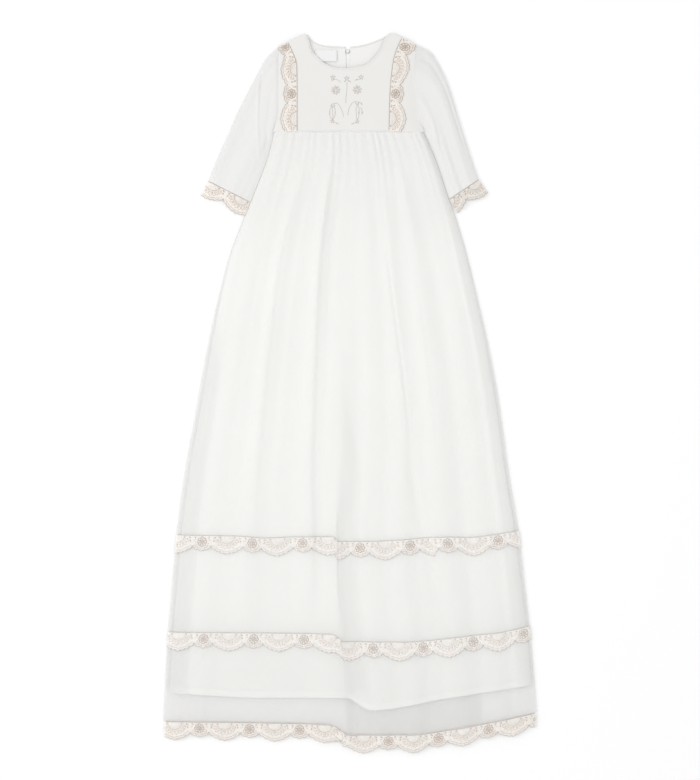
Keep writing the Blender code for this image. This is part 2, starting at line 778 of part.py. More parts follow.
def make_cuff(name, seam, side):
    """Lace round the end of a sleeve, flared a little, with a scalloped edge."""
    outer, inner = sleeve_ends(seam, side)
    run = inner - outer
    width = np.linalg.norm(run)
    run = run / width
    out = np.array([side * abs(run[1]), -abs(run[0])])
    rings = []
    for part in (0.0, 0.5, 1.0):

        def plan(place, part=part):
            share = (place + 1) / 2
            start = np.mod(share * width + CUFF_LACE_START, WIDE_SCALLOP)
            depth = float(scallop_depth(start)) * CUFF_LACE_SIZE
            point = outer + share * width * run + part * CUFF_FLARE * place * run
            return tuple(point + out * (SEAM_GAP + part * depth))

        height = seam.height + (CUFF_END_HEIGHT - seam.height) * part
        rings.append(section_loops(plan, width, height, CUFF_COLUMNS, LACE_CLOTH))
    tube(name, rings, "lace")


def make_binding(name, line, level):
    """A narrow bound edge beside the points of a neckline, rounded on top."""
    way = np.gradient(line, axis=0)
    way = way / np.linalg.norm(way, axis=1)[:, None]
    outward = np.stack([-way[:, 1], way[:, 0]], axis=1)
    rows = []
    for part, lift in ((0.0, BINDING_EDGE), (0.5, 1.0), (1.0, BINDING_EDGE)):
        xy = line + (SEAM_GAP + part * BINDING_WIDTH) * outward
        under = level(xy[:, 0], xy[:, 1]) + 0 * xy[:, 1]
        rows.append(list(zip(xy[:, 0], xy[:, 1], under, under + BINDING_CLOTH * lift)))
    sheet(name, rows, "binding")


def make_neck():
    """Bound edges of the neck, and the label inside the back."""
    neck = along(FRONT_NECK, np.linspace(0, 1, NECK_STEPS + 1))
    make_binding("neck_binding_front", neck[1:-1], bodice_front_floor)

    def flat(x, y):
        return BACK_Z

    make_binding("neck_binding_back_left", back_neck_half(-1)[1:], flat)
    make_binding("neck_binding_back_right", back_neck_half(1)[:0:-1], flat)

    corner = LABEL_CORNER
    under = BACK_Z + BODICE_CLOTH + LAYER_GAP
    label = []
    for y in (corner.y, corner.y + LABEL_HEIGHT):
        xs = np.linspace(corner.x, corner.x + LABEL_WIDTH, 3)
        label.append([(x, y, under, under + LABEL_CLOTH) for x in xs])
    sheet("neck_label", label, "label")


def make_button():
    """A small domed button in the slit and the thread loop round it."""
    centre = (BACK_MIDDLE_X * MM, (back_neck_middle() - BUTTON_DOWN) * MM)
    bpy.ops.mesh.primitive_cylinder_add(
        vertices=24,
        radius=BUTTON_RADIUS * MM,
        depth=BUTTON_HEIGHT * MM,
        location=(*centre, BUTTON_HEIGHT * MM / 2),
    )
    button = bpy.context.object
    button.name = "button"
    edge = button.modifiers.new("rounded edge", "BEVEL")
    edge.width = BUTTON_ROUND * MM
    edge.segments = 2
    edge.limit_method = "ANGLE"
    finish(button, "pearl")
    ring = BUTTON_RADIUS + SEAM_GAP + LOOP_WIRE
    bpy.ops.mesh.primitive_torus_add(
        major_radius=ring * MM,
        minor_radius=LOOP_WIRE * MM,
        major_segments=20,
        minor_segments=6,
        location=(*centre, (BACK_Z + LOOP_WIRE) * MM),
    )
    loop = bpy.context.object
    loop.name = "button_loop"
    finish(loop, "binding")


def clear_scene():
    """Removes what the scene holds at the start."""
    for obj in list(bpy.data.objects):
        bpy.data.objects.remove(obj)


def main():
    """Builds every piece of the gown."""
    clear_scene()
    make_skirt()
    upper = (UPPER_LACE_START, UPPER_LACE_LAGS, UPPER_WANDER)
    make_tier("tier_lace_upper", UPPER_TIER_DOWN, *upper)
    lower = (LOWER_LACE_START, LOWER_LACE_LAGS, LOWER_WANDER)
    make_tier("tier_lace_lower", LOWER_TIER_DOWN, *lower)
    make_hem_lace()
    make_bodice_front()
    make_bodice_back()
    make_yoke_lace("yoke_lace_left", YOKE_SEAM_LEFT, -1, LEFT_LACE_AT_SHOULDER)
    make_yoke_lace("yoke_lace_right", YOKE_SEAM_RIGHT, 1, RIGHT_LACE_AT_SHOULDER)
    make_sleeve("sleeve_left", SLEEVE_LEFT, ARMHOLE_LEFT, -1)
    make_sleeve("sleeve_right", SLEEVE_RIGHT, ARMHOLE_RIGHT, 1)
    make_cuff("cuff_lace_left", SLEEVE_LEFT[-1], -1)
    make_cuff("cuff_lace_right", SLEEVE_RIGHT[-1], 1)
    make_neck()
    make_button()


main()
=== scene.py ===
"""A long christening gown of sheer cloth over a lining, laid flat on its back.

Lengths are in millimetres until a mesh is written. +X is the viewer's right, +Y runs
from the hem to the neck, and +Z stands up off the surface that the gown lies on.
"""

import logging
import math
from dataclasses import dataclass, field, replace
from enum import Enum
from typing import NamedTuple, Sequence

import bmesh
import bpy
import numpy as np
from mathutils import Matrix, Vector


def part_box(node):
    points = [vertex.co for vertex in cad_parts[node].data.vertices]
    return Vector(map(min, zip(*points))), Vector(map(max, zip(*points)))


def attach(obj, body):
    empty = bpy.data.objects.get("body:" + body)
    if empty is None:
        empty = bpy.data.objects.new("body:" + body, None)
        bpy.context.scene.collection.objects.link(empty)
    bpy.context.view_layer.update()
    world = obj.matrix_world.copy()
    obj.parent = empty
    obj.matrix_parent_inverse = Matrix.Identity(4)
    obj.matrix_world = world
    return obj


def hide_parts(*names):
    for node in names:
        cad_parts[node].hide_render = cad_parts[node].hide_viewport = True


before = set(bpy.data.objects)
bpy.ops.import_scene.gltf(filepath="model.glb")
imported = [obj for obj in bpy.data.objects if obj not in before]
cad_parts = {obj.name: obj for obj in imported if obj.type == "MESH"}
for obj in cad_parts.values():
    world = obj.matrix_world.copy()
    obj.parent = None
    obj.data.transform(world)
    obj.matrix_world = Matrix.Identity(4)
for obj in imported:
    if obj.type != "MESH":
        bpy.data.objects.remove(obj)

Array = np.ndarray
Piece = bpy.types.Object
Material = bpy.types.Material
Socket = bpy.types.NodeSocket
Colour = tuple[float, float, float]

LOG = logging.getLogger("christening_gown")
MM = 0.001
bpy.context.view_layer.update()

# Lengths down the gown, as in the solids
WAIST_Y = 365.5
HEM_Y = -459.4
SKIRT_LENGTH = WAIST_Y - HEM_Y
UPPER_TIER_DOWN = 564.0
LOWER_TIER_DOWN = 700.0
LINING_SHORT = 37.0

# Flat cloths, as the finishes' tables read them
SKIRT_WIDTH = 520.0
SLEEVE_WIDTH = 125.0
SLEEVE_LENGTH = 215.0
PLEAT_WIDTH = 40.0

# Heights of the layers off the surface
BACK_Z = 0.7
LINING_BACK_Z = 2.2
LINING_FRONT_Z = 3.9
FRONT_Z = 5.9
SIDE_Z = 1.5
BODICE_EDGE_Z = 4.0
BODICE_FOOT_Z = 6.8
LACE_LIFT = 0.35

# Lace, as in the solids
LACE_REPEAT = 70.0
WIDE_SCALLOP = 44.0
LACE_VALLEY = 15.5
LACE_WIDE = 25.5
LACE_NARROW = 21.5
SMALL_NOTCH = 1.5
WIDE_LOBES = 7
NARROW_LOBES = 3
SCALLOP_FULLNESS = 0.8
POINT_HEIGHT = 0.07
POINT_REACH = 0.07
LACE_EDGE = 0.4

# Where folds take up some of the lace, and how much of it
PLEAT_ACROSS = 0.48
CREASE_ACROSS = 0.765
UPPER_LACE_LAGS = (10.0, -7.8)
LOWER_LACE_LAGS = (26.0, 26.0)
HEM_LACE_LAGS = (-15.7, -15.7)


class Tone(Enum):
    """The threads that the lace and the embroidery are worked in."""

    OUTLINE = "outline"
    FILLING = "filling"
    PALE = "pale"
    HEADING = "heading"


class Side(NamedTuple):
    """The skirt's two side edges at one height."""

    y: float
    left: float
    right: float


class Drop(NamedTuple):
    """How far the hem hangs below its left end, at a share of the width."""

    across: float
    down: float


class Step(NamedTuple):
    """A value at a share of a length."""

    at: float
    value: float


class Fold(NamedTuple):
    """A long fold: its place at the waist and at the hem, reach, height, start and end."""

    waist: float
    hem: float
    left: float
    right: float
    height: float
    start: float
    end: float


class Point(NamedTuple):
    """A point in plan."""

    x: float
    y: float


class Section(NamedTuple):
    """One section of a sleeve: its outer end, how far up its inner end is, and its height."""

    outer_x: float
    outer_y: float
    inner_y: float
    height: float


def table_of(kind: type, *rows: tuple) -> tuple:
    """A table with the named columns of one kind of row."""
    return tuple(kind(*row) for row in rows)


SKIRT_SIDES = table_of(
    Side,
    (366, -107.8, 104.5),
    (340, -114.0, 116.2),
    (312, -123.2, 126.8),
    (280, -135.8, 137.2),
    (242, -150.5, 150.0),
    (200, -166.6, 162.5),
    (144, -182.0, 176.5),
    (60, -201.0, 196.0),
    (-24, -216.5, 211.0),
    (-108, -231.5, 222.5),
    (-192, -243.0, 236.5),
    (-276, -250.5, 246.5),
    (-360, -257.0, 255.5),
    (-416, -260.0, 260.2),
    (-461, -262.5, 263.4),
)
HEM_DROPS = table_of(
    Drop, (0.00, 0.0), (0.20, 1.5), (0.45, 4.5), (0.50, 19.0), (0.66, 18.5), (0.82, 7.0), (1.00, -12.0),
)
BACK_DROPS = table_of(
    Drop, (0.00, 0.0), (0.25, 1.5), (0.44, 4.0), (0.50, 18.0), (0.66, 18.0), (0.82, 6.5), (1.00, -12.0),
)
LINING_DROPS = table_of(
    Drop, (0.00, -3.0), (0.27, 4.6), (0.49, 4.6), (0.56, 23.8), (0.76, 5.9), (1.00, -15.5)
)
LINING_LEFT = table_of(Step, (0.0, 0.006), (0.16, 0.006), (0.28, 0.010), (0.43, 0.017), (1.0, 0.014))
LINING_RIGHT = table_of(Step, (0.0, 0.006), (0.20, 0.008), (0.43, 0.013), (1.0, 0.010))
SKIPPED_LEFT = table_of(Step, (0.0, 0.072), (0.14, 0.072), (0.28, 0.050), (0.43, 0.0), (1.0, 0.0))
SKIPPED_RIGHT = table_of(Step, (0.0, 0.0), (0.45, 0.0), (0.60, 0.006), (0.76, 0.0), (1.0, 0.008))
PLEAT_REACH = table_of(Step, (0.0, 0.15), (0.42, 0.15), (0.58, 1.0), (1.0, 1.0))
TUCKS = table_of(Step, (0.0, 0.0), (0.45, 0.0105), (0.50, -0.0275), (1.0, 0.0))
TUCKS_DOWN = table_of(
    Step, (0.0, 0.0), (0.45, 0.0), (0.60, 0.55), (0.67, 1.0), (0.74, 1.0), (0.85, 0.45), (1.0, 0.0),
)
LONG_FOLDS = table_of(
    Fold,
    (0.100, 0.100, 0.050, 0.050, 1.8, 0.15, 1.2),
    (0.225, 0.200, 0.050, 0.060, 2.9, 0.02, 0.95),
    (0.375, 0.375, 0.050, 0.050, 3.6, 0.00, 0.90),
    (0.466, 0.466, 0.100, 0.080, 3.9, 0.28, 1.6),
    (0.575, 0.600, 0.060, 0.060, 1.9, 0.05, 1.1),
    (0.675, 0.675, 0.055, 0.045, 2.8, 0.05, 1.3),
    (0.775, 0.800, 0.050, 0.060, 3.4, 0.02, 1.3),
    (0.900, 0.900, 0.050, 0.045, 1.8, 0.20, 1.2),
)
SOFT_CREASES = table_of(
    Fold,
    (0.050, 0.048, 0.020, 0.022, 0.6, 0.25, 1.2),
    (0.155, 0.150, 0.024, 0.036, 0.5, 0.10, 0.8),
    (0.205, 0.226, 0.036, 0.020, 1.6, 0.06, 0.72),
    (0.290, 0.285, 0.030, 0.024, 0.6, 0.05, 0.7),
    (0.374, 0.388, 0.034, 0.020, 2.3, 0.04, 0.85),
    (0.430, 0.425, 0.018, 0.030, -0.7, 0.06, 0.60),
    (0.522, 0.518, 0.030, 0.036, -1.7, 0.55, 1.4),
    (0.560, 0.580, 0.020, 0.030, 0.6, 0.30, 1.3),
    (0.640, 0.760, 0.012, 0.009, -1.7, 0.14, 0.58),
    (0.748, 0.785, 0.034, 0.022, 1.6, 0.20, 0.64),
    (0.550, 0.830, 0.026, 0.018, -1.8, 0.50, 0.96),
    (0.850, 0.858, 0.030, 0.024, -0.7, 0.15, 1.0),
    (0.955, 0.950, 0.016, 0.016, 0.6, 0.10, 1.2),
)
GATHERS_DOWN = table_of(
    Step, (0.0, 0.45), (0.014, 1.0), (0.05, 0.9), (0.14, 0.45), (0.26, 0.12), (0.40, 0.0),
)
UPPER_WANDER = table_of(
    Step, (0.0, 0.0), (0.18, 0.9), (0.26, 3.2), (0.34, 1.2), (0.46, 0.0), (0.60, -0.2), (0.66, -1.7),
    (0.73, -2.8), (0.79, -1.9), (0.88, 2.2), (0.93, 1.6), (1.0, 0.0),
)
LOWER_WANDER = table_of(
    Step, (0.0, 0.0), (0.46, -0.6), (0.72, 0.4), (0.86, 1.4), (0.92, 2.6), (1.0, 0.4)
)
ARMHOLE_LEFT = table_of(
    Point, (-107.8, WAIST_Y), (-102.5, 386.0), (-100.8, 411.0), (-100.6, 446.0), (-99.8, 484.5),
)
ARMHOLE_RIGHT = table_of(
    Point, (104.5, WAIST_Y), (95.0, 388.0), (90.5, 416.0), (89.5, 450.0), (92.0, 487.5)
)
YOKE_SEAM_LEFT = table_of(
    Point, (-73.6, WAIST_Y), (-73.6, 420.0), (-74.2, 458.0), (-80.5, 478.0), (-87.0, 491.2),
)
YOKE_SEAM_RIGHT = table_of(
    Point, (54.0, WAIST_Y), (55.5, 420.0), (60.0, 464.0), (66.0, 484.0), (72.5, 497.6)
)
NECK_LEFT = Point(-63.0, 503.5)
NECK_RIGHT = Point(58.8, 504.2)
FRONT_NECK = (
    NECK_LEFT,
    Point(-59.0, 494.0),
    Point(-54.5, 478.6),
    Point(-46.5, 469.5),
    Point(-33.8, 458.8),
    Point(-21.0, 454.3),
    Point(-4.5, 453.3),
    Point(9.3, 455.0),
    Point(23.5, 458.8),
    Point(35.2, 469.5),
    Point(44.0, 481.3),
    Point(49.5, 494.7),
    NECK_RIGHT,
)
BACK_NECK = (
    NECK_LEFT,
    Point(-57.0, 496.0),
    Point(-49.1, 489.2),
    Point(-35.7, 485.4),
    Point(-9.0, 483.6),
    Point(4.2, 483.8),
    Point(17.9, 486.0),
    Point(35.7, 491.5),
    Point(48.0, 497.0),
    NECK_RIGHT,
)
SLEEVE_LEFT = table_of(
    Section,
    (-100.4, 484.4, 366.4, 5.2),
    (-116.2, 469.7, 352.8, 5.7),
    (-129.5, 446.6, 337.4, 5.8),
    (-144.2, 418.6, 319.2, 5.8),
    (-158.2, 390.6, 302.4, 5.7),
    (-172.9, 357.0, 288.4, 5.6),
    (-186.9, 324.8, 277.2, 5.5),
    (-198.1, 296.8, 267.4, 5.4),
)
SLEEVE_RIGHT = table_of(
    Section,
    (92.6, 487.4, 366.4, 5.2),
    (110.6, 479.5, 353.5, 5.7),
    (126.0, 456.4, 339.0, 5.8),
    (137.9, 429.8, 323.4, 5.8),
    (147.0, 400.4, 308.0, 5.7),
    (156.8, 368.2, 294.0, 5.6),
    (168.0, 333.2, 282.8, 5.5),
    (179.9, 298.9, 271.6, 5.4),
)


def column(table: Sequence[NamedTuple], name: str) -> Array:
    """The values of one named column of a table."""
    return np.array([getattr(row, name) for row in table], float)


def smooth(x: Array | float, xs: Array, ys: Array) -> Array:
    """Reads a smooth curve that passes through points and doesn't swing past them.

    Args:
        x: Where the curve is read.
        xs: Places of the points, in order either way.
        ys: Their values.

    Returns:
        The curve's values at x.
    """
    xs = np.asarray(xs, float)
    ys = np.asarray(ys, float)
    x = np.clip(np.asarray(x, float), xs.min(), xs.max())
    if xs[0] > xs[-1]:
        xs, ys = xs[::-1], ys[::-1]
    step = np.diff(xs)
    slope = np.diff(ys) / step
    inner = np.where(
        slope[:-1] * slope[1:] > 0,
        2 * slope[:-1] * slope[1:] / (slope[:-1] + slope[1:] + 1e-12),
        0.0,
    )
    tangent = np.concatenate([[slope[0]], inner, [slope[-1]]])
    i = np.clip(np.searchsorted(xs, x, side="right") - 1, 0, len(step) - 1)
    h = step[i]
    u = (x - xs[i]) / h
    return (
        ys[i] * (1 + 2 * u) * (1 - u) ** 2
        + tangent[i] * h * u * (1 - u) ** 2
        + ys[i + 1] * u * u * (3 - 2 * u)
        + tangent[i + 1] * h * u * u * (u - 1)
    )


def read_steps(table: Sequence[Step], at: Array | float) -> Array:
    """Reads a table of steps as a smooth curve."""
    return smooth(at, column(table, "at"), column(table, "value"))


def along(points: Sequence[Point], share: Array) -> Array:
    """Points at shares of a line's length.

    Args:
        points: The line's points in plan.
        share: Shares of its length, from 0 to 1.

    Returns:
        An array of x and y, a row for each share.
    """
    xy = np.array([(p[0], p[1]) for p in points], float)
    length = run_of(xy)
    at = np.asarray(share, float) * length[-1]
    return np.stack([smooth(at, length, xy[:, 0]), smooth(at, length, xy[:, 1])], axis=-1)


def run_of(points: Array) -> Array:
    """How far along a line each of its points is."""
    return np.concatenate([[0], np.cumsum(np.linalg.norm(np.diff(points, axis=0), axis=1))])


def unit(vectors: Array) -> Array:
    """Rows of vectors, each made 1 long."""
    return vectors / np.maximum(np.linalg.norm(vectors, axis=1, keepdims=True), 1e-6)


def left_of(line: Array) -> Array:
    """The direction to the left of a line in plan, 1 long, at each of its points."""
    way = unit(np.gradient(line, axis=0))
    return np.stack([-way[:, 1], way[:, 0]], axis=1)


def ramp(value: Array | float, start: float, reach: float) -> Array:
    """Rises evenly from 0 at a start to 1 a reach past it."""
    return np.clip((value - start) / reach, 0, 1)


def ease(share: Array) -> Array:
    """Rises from 0 to 1 with a soft start and a soft end."""
    return share * share * (3 - 2 * share)


def wave(turns: Array) -> Array:
    """The height of an even wave, from -1 to 1, after a number of turns."""
    return np.sin(2 * math.pi * turns)


def quarter(share: Array) -> Array:
    """Rises from 0 to 1 as a rounded edge does, steep first and level at its end."""
    return np.sin(0.5 * math.pi * np.clip(share, 0, 1))


def tube_faces(rings: int, sides: int) -> list[list[int]]:
    """Faces of a closed tube.

    Args:
        rings: How many rings of points it has.
        sides: How many points each ring has.

    Returns:
        Its faces, as indices of points, with its two ends last.
    """
    index = np.arange(rings * sides).reshape(rings, sides)
    after = np.roll(index, -1, axis=1)
    quads = np.stack([index[:-1], after[:-1], after[1:], index[1:]], axis=-1).reshape(-1, 4)
    return [*quads.tolist(), index[0][::-1].tolist(), index[-1].tolist()]


def edge_x(points: Sequence[Point], y: Array | float) -> Array:
    """Where an edge, given from the waist up, lies across at heights up the bodice."""
    return smooth(y, column(points, "y"), column(points, "x"))


def scallop_depth(place: Array | float) -> Array:
    """Depth of the lace at a place in its pattern.

    Args:
        place: Distance along the pattern; a wide scallop starts at each repeat.

    Returns:
        The depth from the straight edge.
    """
    at = np.mod(np.asarray(place, float), LACE_REPEAT)
    wide_share = ramp(at, 0, WIDE_SCALLOP)
    narrow_share = ramp(at, WIDE_SCALLOP, LACE_REPEAT - WIDE_SCALLOP)
    point = 1 + POINT_HEIGHT * np.exp(-(((wide_share - 0.5) / POINT_REACH) ** 2))
    wide = (LACE_WIDE - LACE_VALLEY) * np.sin(math.pi * wide_share) ** SCALLOP_FULLNESS * point
    narrow = (LACE_NARROW - LACE_VALLEY) * np.sin(math.pi * narrow_share) ** SCALLOP_FULLNESS
    notches = np.where(at < WIDE_SCALLOP, WIDE_LOBES * wide_share, NARROW_LOBES * narrow_share)
    lobed = SMALL_NOTCH * (1 - np.abs(np.sin(math.pi * notches)))
    return LACE_VALLEY + LACE_EDGE + np.where(at < WIDE_SCALLOP, wide, narrow) - lobed


ONE_BAND = math.pi / 10
RELIEF = 0.0002


class NodeGraph:
    """A material with a Principled shader, and short ways to add nodes to it."""

    def __init__(self, name: str) -> None:
        """Makes the material.

        Args:
            name: The material's name.
        """
        self.material = bpy.data.materials.new(name)
        self.material.use_nodes = True
        self.nodes = self.material.node_tree.nodes
        self.links = self.material.node_tree.links
        self.shader = self.nodes["Principled BSDF"]

    def add(self, kind: str, **inputs: float | tuple) -> bpy.types.Node:
        """Adds a node.

        Args:
            kind: The node's type.
            inputs: Values of its sockets; an underscore in a name stands for a space.

        Returns:
            The node.
        """
        node = self.nodes.new(kind)
        for name, value in inputs.items():
            node.inputs[name.replace("_", " ")].default_value = value
        return node

    def join(self, source: Socket, target: Socket) -> None:
        """Links an output to an input."""
        self.links.new(source, target)

    def math(
        self, operation: str, first: Socket, second: Socket | float
    ) -> Socket:
        """Adds a Math node.

        Args:
            operation: What it works out.
            first: Its first input.
            second: Its second input, linked or a number.

        Returns:
            Its output.
        """
        node = self.nodes.new("ShaderNodeMath")
        node.operation = operation
        self.join(first, node.inputs[0])
        if isinstance(second, (int, float)):
            node.inputs[1].default_value = second
        else:
            self.join(second, node.inputs[1])
        return node.outputs[0]

    def two_colours(
        self, share: Socket, first: tuple, second: tuple
    ) -> Socket:
        """Mixes two colours by a socket.

        Args:
            share: 0 for the first colour and 1 for the second.
            first: A linear colour.
            second: Another.

        Returns:
            The mixed colour.
        """
        node = self.nodes.new("ShaderNodeMix")
        node.data_type = "RGBA"
        node.inputs[6].default_value = (*first, 1.0)
        node.inputs[7].default_value = (*second, 1.0)
        self.join(share, node.inputs[0])
        return node.outputs[2]

    def coordinates(self, source: str, scale: tuple, turn: float = 0.0) -> Socket:
        """Coordinates for a pattern.

        Args:
            source: "Object", or the name of a UV map.
            scale: Pattern units for each metre, three ways.
            turn: A turn in the plane, in radians.

        Returns:
            The coordinates.
        """
        if source == "Object":
            start = self.nodes.new("ShaderNodeTexCoord").outputs["Object"]
        else:
            uv = self.nodes.new("ShaderNodeUVMap")
            uv.uv_map = source
            start = uv.outputs[0]
        mapping = self.nodes.new("ShaderNodeMapping")
        mapping.inputs["Scale"].default_value = scale
        mapping.inputs["Rotation"].default_value = (0.0, 0.0, turn)
        self.join(start, mapping.inputs["Vector"])
        return mapping.outputs[0]

    def noise(self, where: Socket, scale: float, detail: float) -> Socket:
        """Adds soft noise.

        Args:
            where: Coordinates.
            scale: Its fineness.
            detail: How many finer layers it has.

        Returns:
            Its value.
        """
        node = self.add("ShaderNodeTexNoise", Scale=scale, Detail=detail)
        self.join(where, node.inputs["Vector"])
        return node.outputs["Fac"]

    def drift(self, scale: float, detail: float) -> Socket:
        """Adds soft noise over the whole piece, its scale given for each metre."""
        return self.noise(self.coordinates("Object", (1.0, 1.0, 1.0)), scale, detail)

    def bands(self, where: Socket, direction: str) -> Socket:
        """Adds even bands, one for each unit of the coordinates.

        Args:
            where: Coordinates.
            direction: X or Y.

        Returns:
            Their value.
        """
        node = self.add("ShaderNodeTexWave", Scale=ONE_BAND, Distortion=0.0)
        node.bands_direction = direction
        self.join(where, node.inputs["Vector"])
        return node.outputs["Fac"]

    def part(self, where: Socket, axis: str) -> Socket:
        """Takes one axis of some coordinates."""
        node = self.nodes.new("ShaderNodeSeparateXYZ")
        self.join(where, node.inputs[0])
        return node.outputs[axis]

    def curve(self, share: Socket, steps: Sequence[Step]) -> Socket:
        """Reads a table of steps.

        Args:
            share: Where it is read.
            steps: The table.

        Returns:
            The value there, as a grey.
        """
        node = self.nodes.new("ShaderNodeValToRGB")
        ramp = node.color_ramp
        ramp.interpolation = "EASE"
        while len(ramp.elements) < len(steps):
            ramp.elements.new(0.5)
        for element, step in zip(ramp.elements, steps):
            element.position = step.at
            element.color = (step.value, step.value, step.value, 1.0)
        self.join(share, node.inputs[0])
        return node.outputs[0]

    def times(self, colour: Socket, grey: Socket) -> Socket:
        """Multiplies a colour by a grey."""
        node = self.nodes.new("ShaderNodeMix")
        node.data_type = "RGBA"
        node.blend_type = "MULTIPLY"
        node.inputs[0].default_value = 1.0
        self.join(colour, node.inputs[6])
        self.join(grey, node.inputs[7])
        return node.outputs[2]

    def paint(self, colour: Socket) -> None:
        """Gives the shader its colour."""
        self.join(colour, self.shader.inputs["Base Color"])

    def bump(self, height: Socket, strength: float) -> None:
        """Raises the surface by a pattern.

        Args:
            height: The pattern.
            strength: How strong the bump is.
        """
        node = self.add("ShaderNodeBump", Strength=strength, Distance=RELIEF)
        self.join(height, node.inputs["Height"])
        self.join(node.outputs[0], self.shader.inputs["Normal"])

    def set(self, **values: float) -> None:
        """Sets plain values on the shader; an underscore in a name stands for a space."""
        for name, value in values.items():
            self.shader.inputs[name.replace("_", " ")].default_value = value


@dataclass(frozen=True)
class ClothFinish:
    """A plain woven cloth.

    Attributes:
        name: The material's name.
        slot: Its slot's name; not used.
        colour: Its colour.
        shade: A second colour, which it drifts to in soft patches.
        thread: Distance between its threads, in millimetres.
        weave: Strength of the weave's relief.
        alpha: How much it covers what lies under it.
        roughness: The shader's roughness.
        sheen: The soft light at its edges.
        tones: How bright it is along its length, from its foot up; painted shade, darker near the waist
            and low down, where layers lie closer.
        across: How bright it is across its width; painted shade at a sleeve's edges, where the cloth
            turns and where it dips beside the skirt.
        cover: How much it covers across its width, in place of one share for the whole.
        width: The width that those tables run over, in millimetres.
    """

    name: str
    slot: str
    colour: Colour
    shade: Colour
    thread: float = 0.45
    weave: float = 0.06
    alpha: float = 1.0
    roughness: float = 0.6
    sheen: float = 0.1
    tones: tuple[Step, ...] = ()
    across: tuple[Step, ...] = ()
    cover: tuple[Step, ...] = ()
    width: float = SKIRT_WIDTH

    def make(self) -> Material:
        """Builds the material.

        Returns:
            The material.
        """
        graph = NodeGraph(self.name)
        threads = graph.coordinates("cloth", (1000 / self.thread,) * 3)
        weave = graph.math("MAXIMUM", graph.bands(threads, "X"), graph.bands(threads, "Y"))
        slubs = graph.noise(graph.coordinates("cloth", (900.0, 60.0, 1.0)), 1.0, 3.0)
        colour = graph.two_colours(graph.drift(9.0, 3.0), self.colour, self.shade)
        share = graph.coordinates("cloth", (1 / (self.width * MM), 1 / (SKIRT_LENGTH * MM), 1.0))
        # Painted shade: the tones table darkens the colour along the cloth, and the across table
        # darkens it towards a sleeve's edges.
        if self.tones:
            colour = graph.times(colour, graph.curve(graph.part(share, "Y"), self.tones))
        if self.across:
            colour = graph.times(colour, graph.curve(graph.part(share, "X"), self.across))
        graph.paint(colour)
        if self.cover:
            graph.join(graph.curve(graph.part(share, "X"), self.cover), graph.shader.inputs["Alpha"])
        relief = graph.math("MULTIPLY", graph.math("ADD", weave, slubs), 0.5)
        graph.bump(relief, self.weave)
        graph.set(Roughness=self.roughness, Sheen_Weight=self.sheen, Alpha=self.alpha)
        return graph.material


@dataclass(frozen=True)
class NetFinish:
    """The fine net that the lace is worked on.

    Attributes:
        name: The material's name.
        colour: Colour of its threads.
        shade: Colour of its holes' edges.
        mesh: Width of a mesh of the net, in millimetres.
        thread: Half a thread's width, as a share of a mesh.
        hole: Where a hole begins, as a share of a mesh from its edge.
        cover: How much the net covers at its holes.
        slot: Its slot's name; not used.
    """

    name: str
    colour: Colour
    shade: Colour
    mesh: float = 1.7
    thread: float = 0.08
    hole: float = 0.22
    cover: float = 0.6
    slot: str = "lace"

    def make(self) -> Material:
        """Builds the material.

        Returns:
            The material.
        """
        graph = NodeGraph(self.name)
        where = graph.coordinates("cloth", (1000 / self.mesh,) * 3)
        cells = graph.add("ShaderNodeTexVoronoi", Scale=1.0, Randomness=0.25)
        cells.feature = "DISTANCE_TO_EDGE"
        graph.join(where, cells.inputs["Vector"])
        holes = graph.add("ShaderNodeMapRange", From_Min=self.thread, From_Max=self.hole)
        holes.inputs["To Min"].default_value = 1.0
        holes.inputs["To Max"].default_value = self.cover
        graph.join(cells.outputs["Distance"], holes.inputs["Value"])
        graph.join(holes.outputs[0], graph.shader.inputs["Alpha"])
        graph.paint(graph.two_colours(holes.outputs[0], self.shade, self.colour))
        graph.bump(holes.outputs[0], 0.4)
        graph.set(Roughness=0.8, Sheen_Weight=0.1)
        return graph.material


@dataclass(frozen=True)
class ThreadFinish:
    """A sewing or lace thread, twisted, with light and dark stretches: painted shade in its twist's
    grooves, and random drift along it.

    Attributes:
        name: The material's name.
        colour: Its colour.
        shade: Its darker colour, painted in its twist's grooves and in random stretches.
        twist: Length of one twist, in millimetres.
        slot: Its slot's name; not used.
        source: Where its coordinates come from.
        slant: The slant of its twist, in radians.
    """

    name: str
    colour: Colour
    shade: Colour
    twist: float = 0.7
    slot: str = "lace"
    source: str = "cloth"
    slant: float = 0.6

    def make(self) -> Material:
        """Builds the material.

        Returns:
            The material.
        """
        graph = NodeGraph(self.name)
        turns = 1000 / self.twist
        where = graph.coordinates(self.source, (turns, turns, 1.0), self.slant)
        strands = graph.bands(where, "X")
        # Painted shade: the colour darkens where the twist's relief dips, as its grooves would be
        # shaded.
        twist = graph.math("MULTIPLY", strands, 0.35)
        drift = graph.math("MULTIPLY", graph.drift(220.0, 2.0), 0.65)
        graph.paint(graph.two_colours(graph.math("ADD", twist, drift), self.shade, self.colour))
        graph.bump(strands, 0.5)
        graph.set(Roughness=0.7, Sheen_Weight=0.15)
        return graph.material


@dataclass(frozen=True)
class PearlFinish:
    """The small button's pearly plastic."""

    name: str = "pearl_button"
    slot: str = "pearl"
    colour: Colour = (0.88, 0.86, 0.83)
    shade: Colour = (0.74, 0.72, 0.71)

    def make(self) -> Material:
        """Builds the material.

        Returns:
            The material.
        """
        graph = NodeGraph(self.name)
        swirl = graph.drift(420.0, 3.0)
        graph.paint(graph.two_colours(swirl, self.colour, self.shade))
        graph.bump(swirl, 0.08)
        graph.set(Roughness=0.22, Coat_Weight=0.4, Coat_Roughness=0.1)
        return graph.material
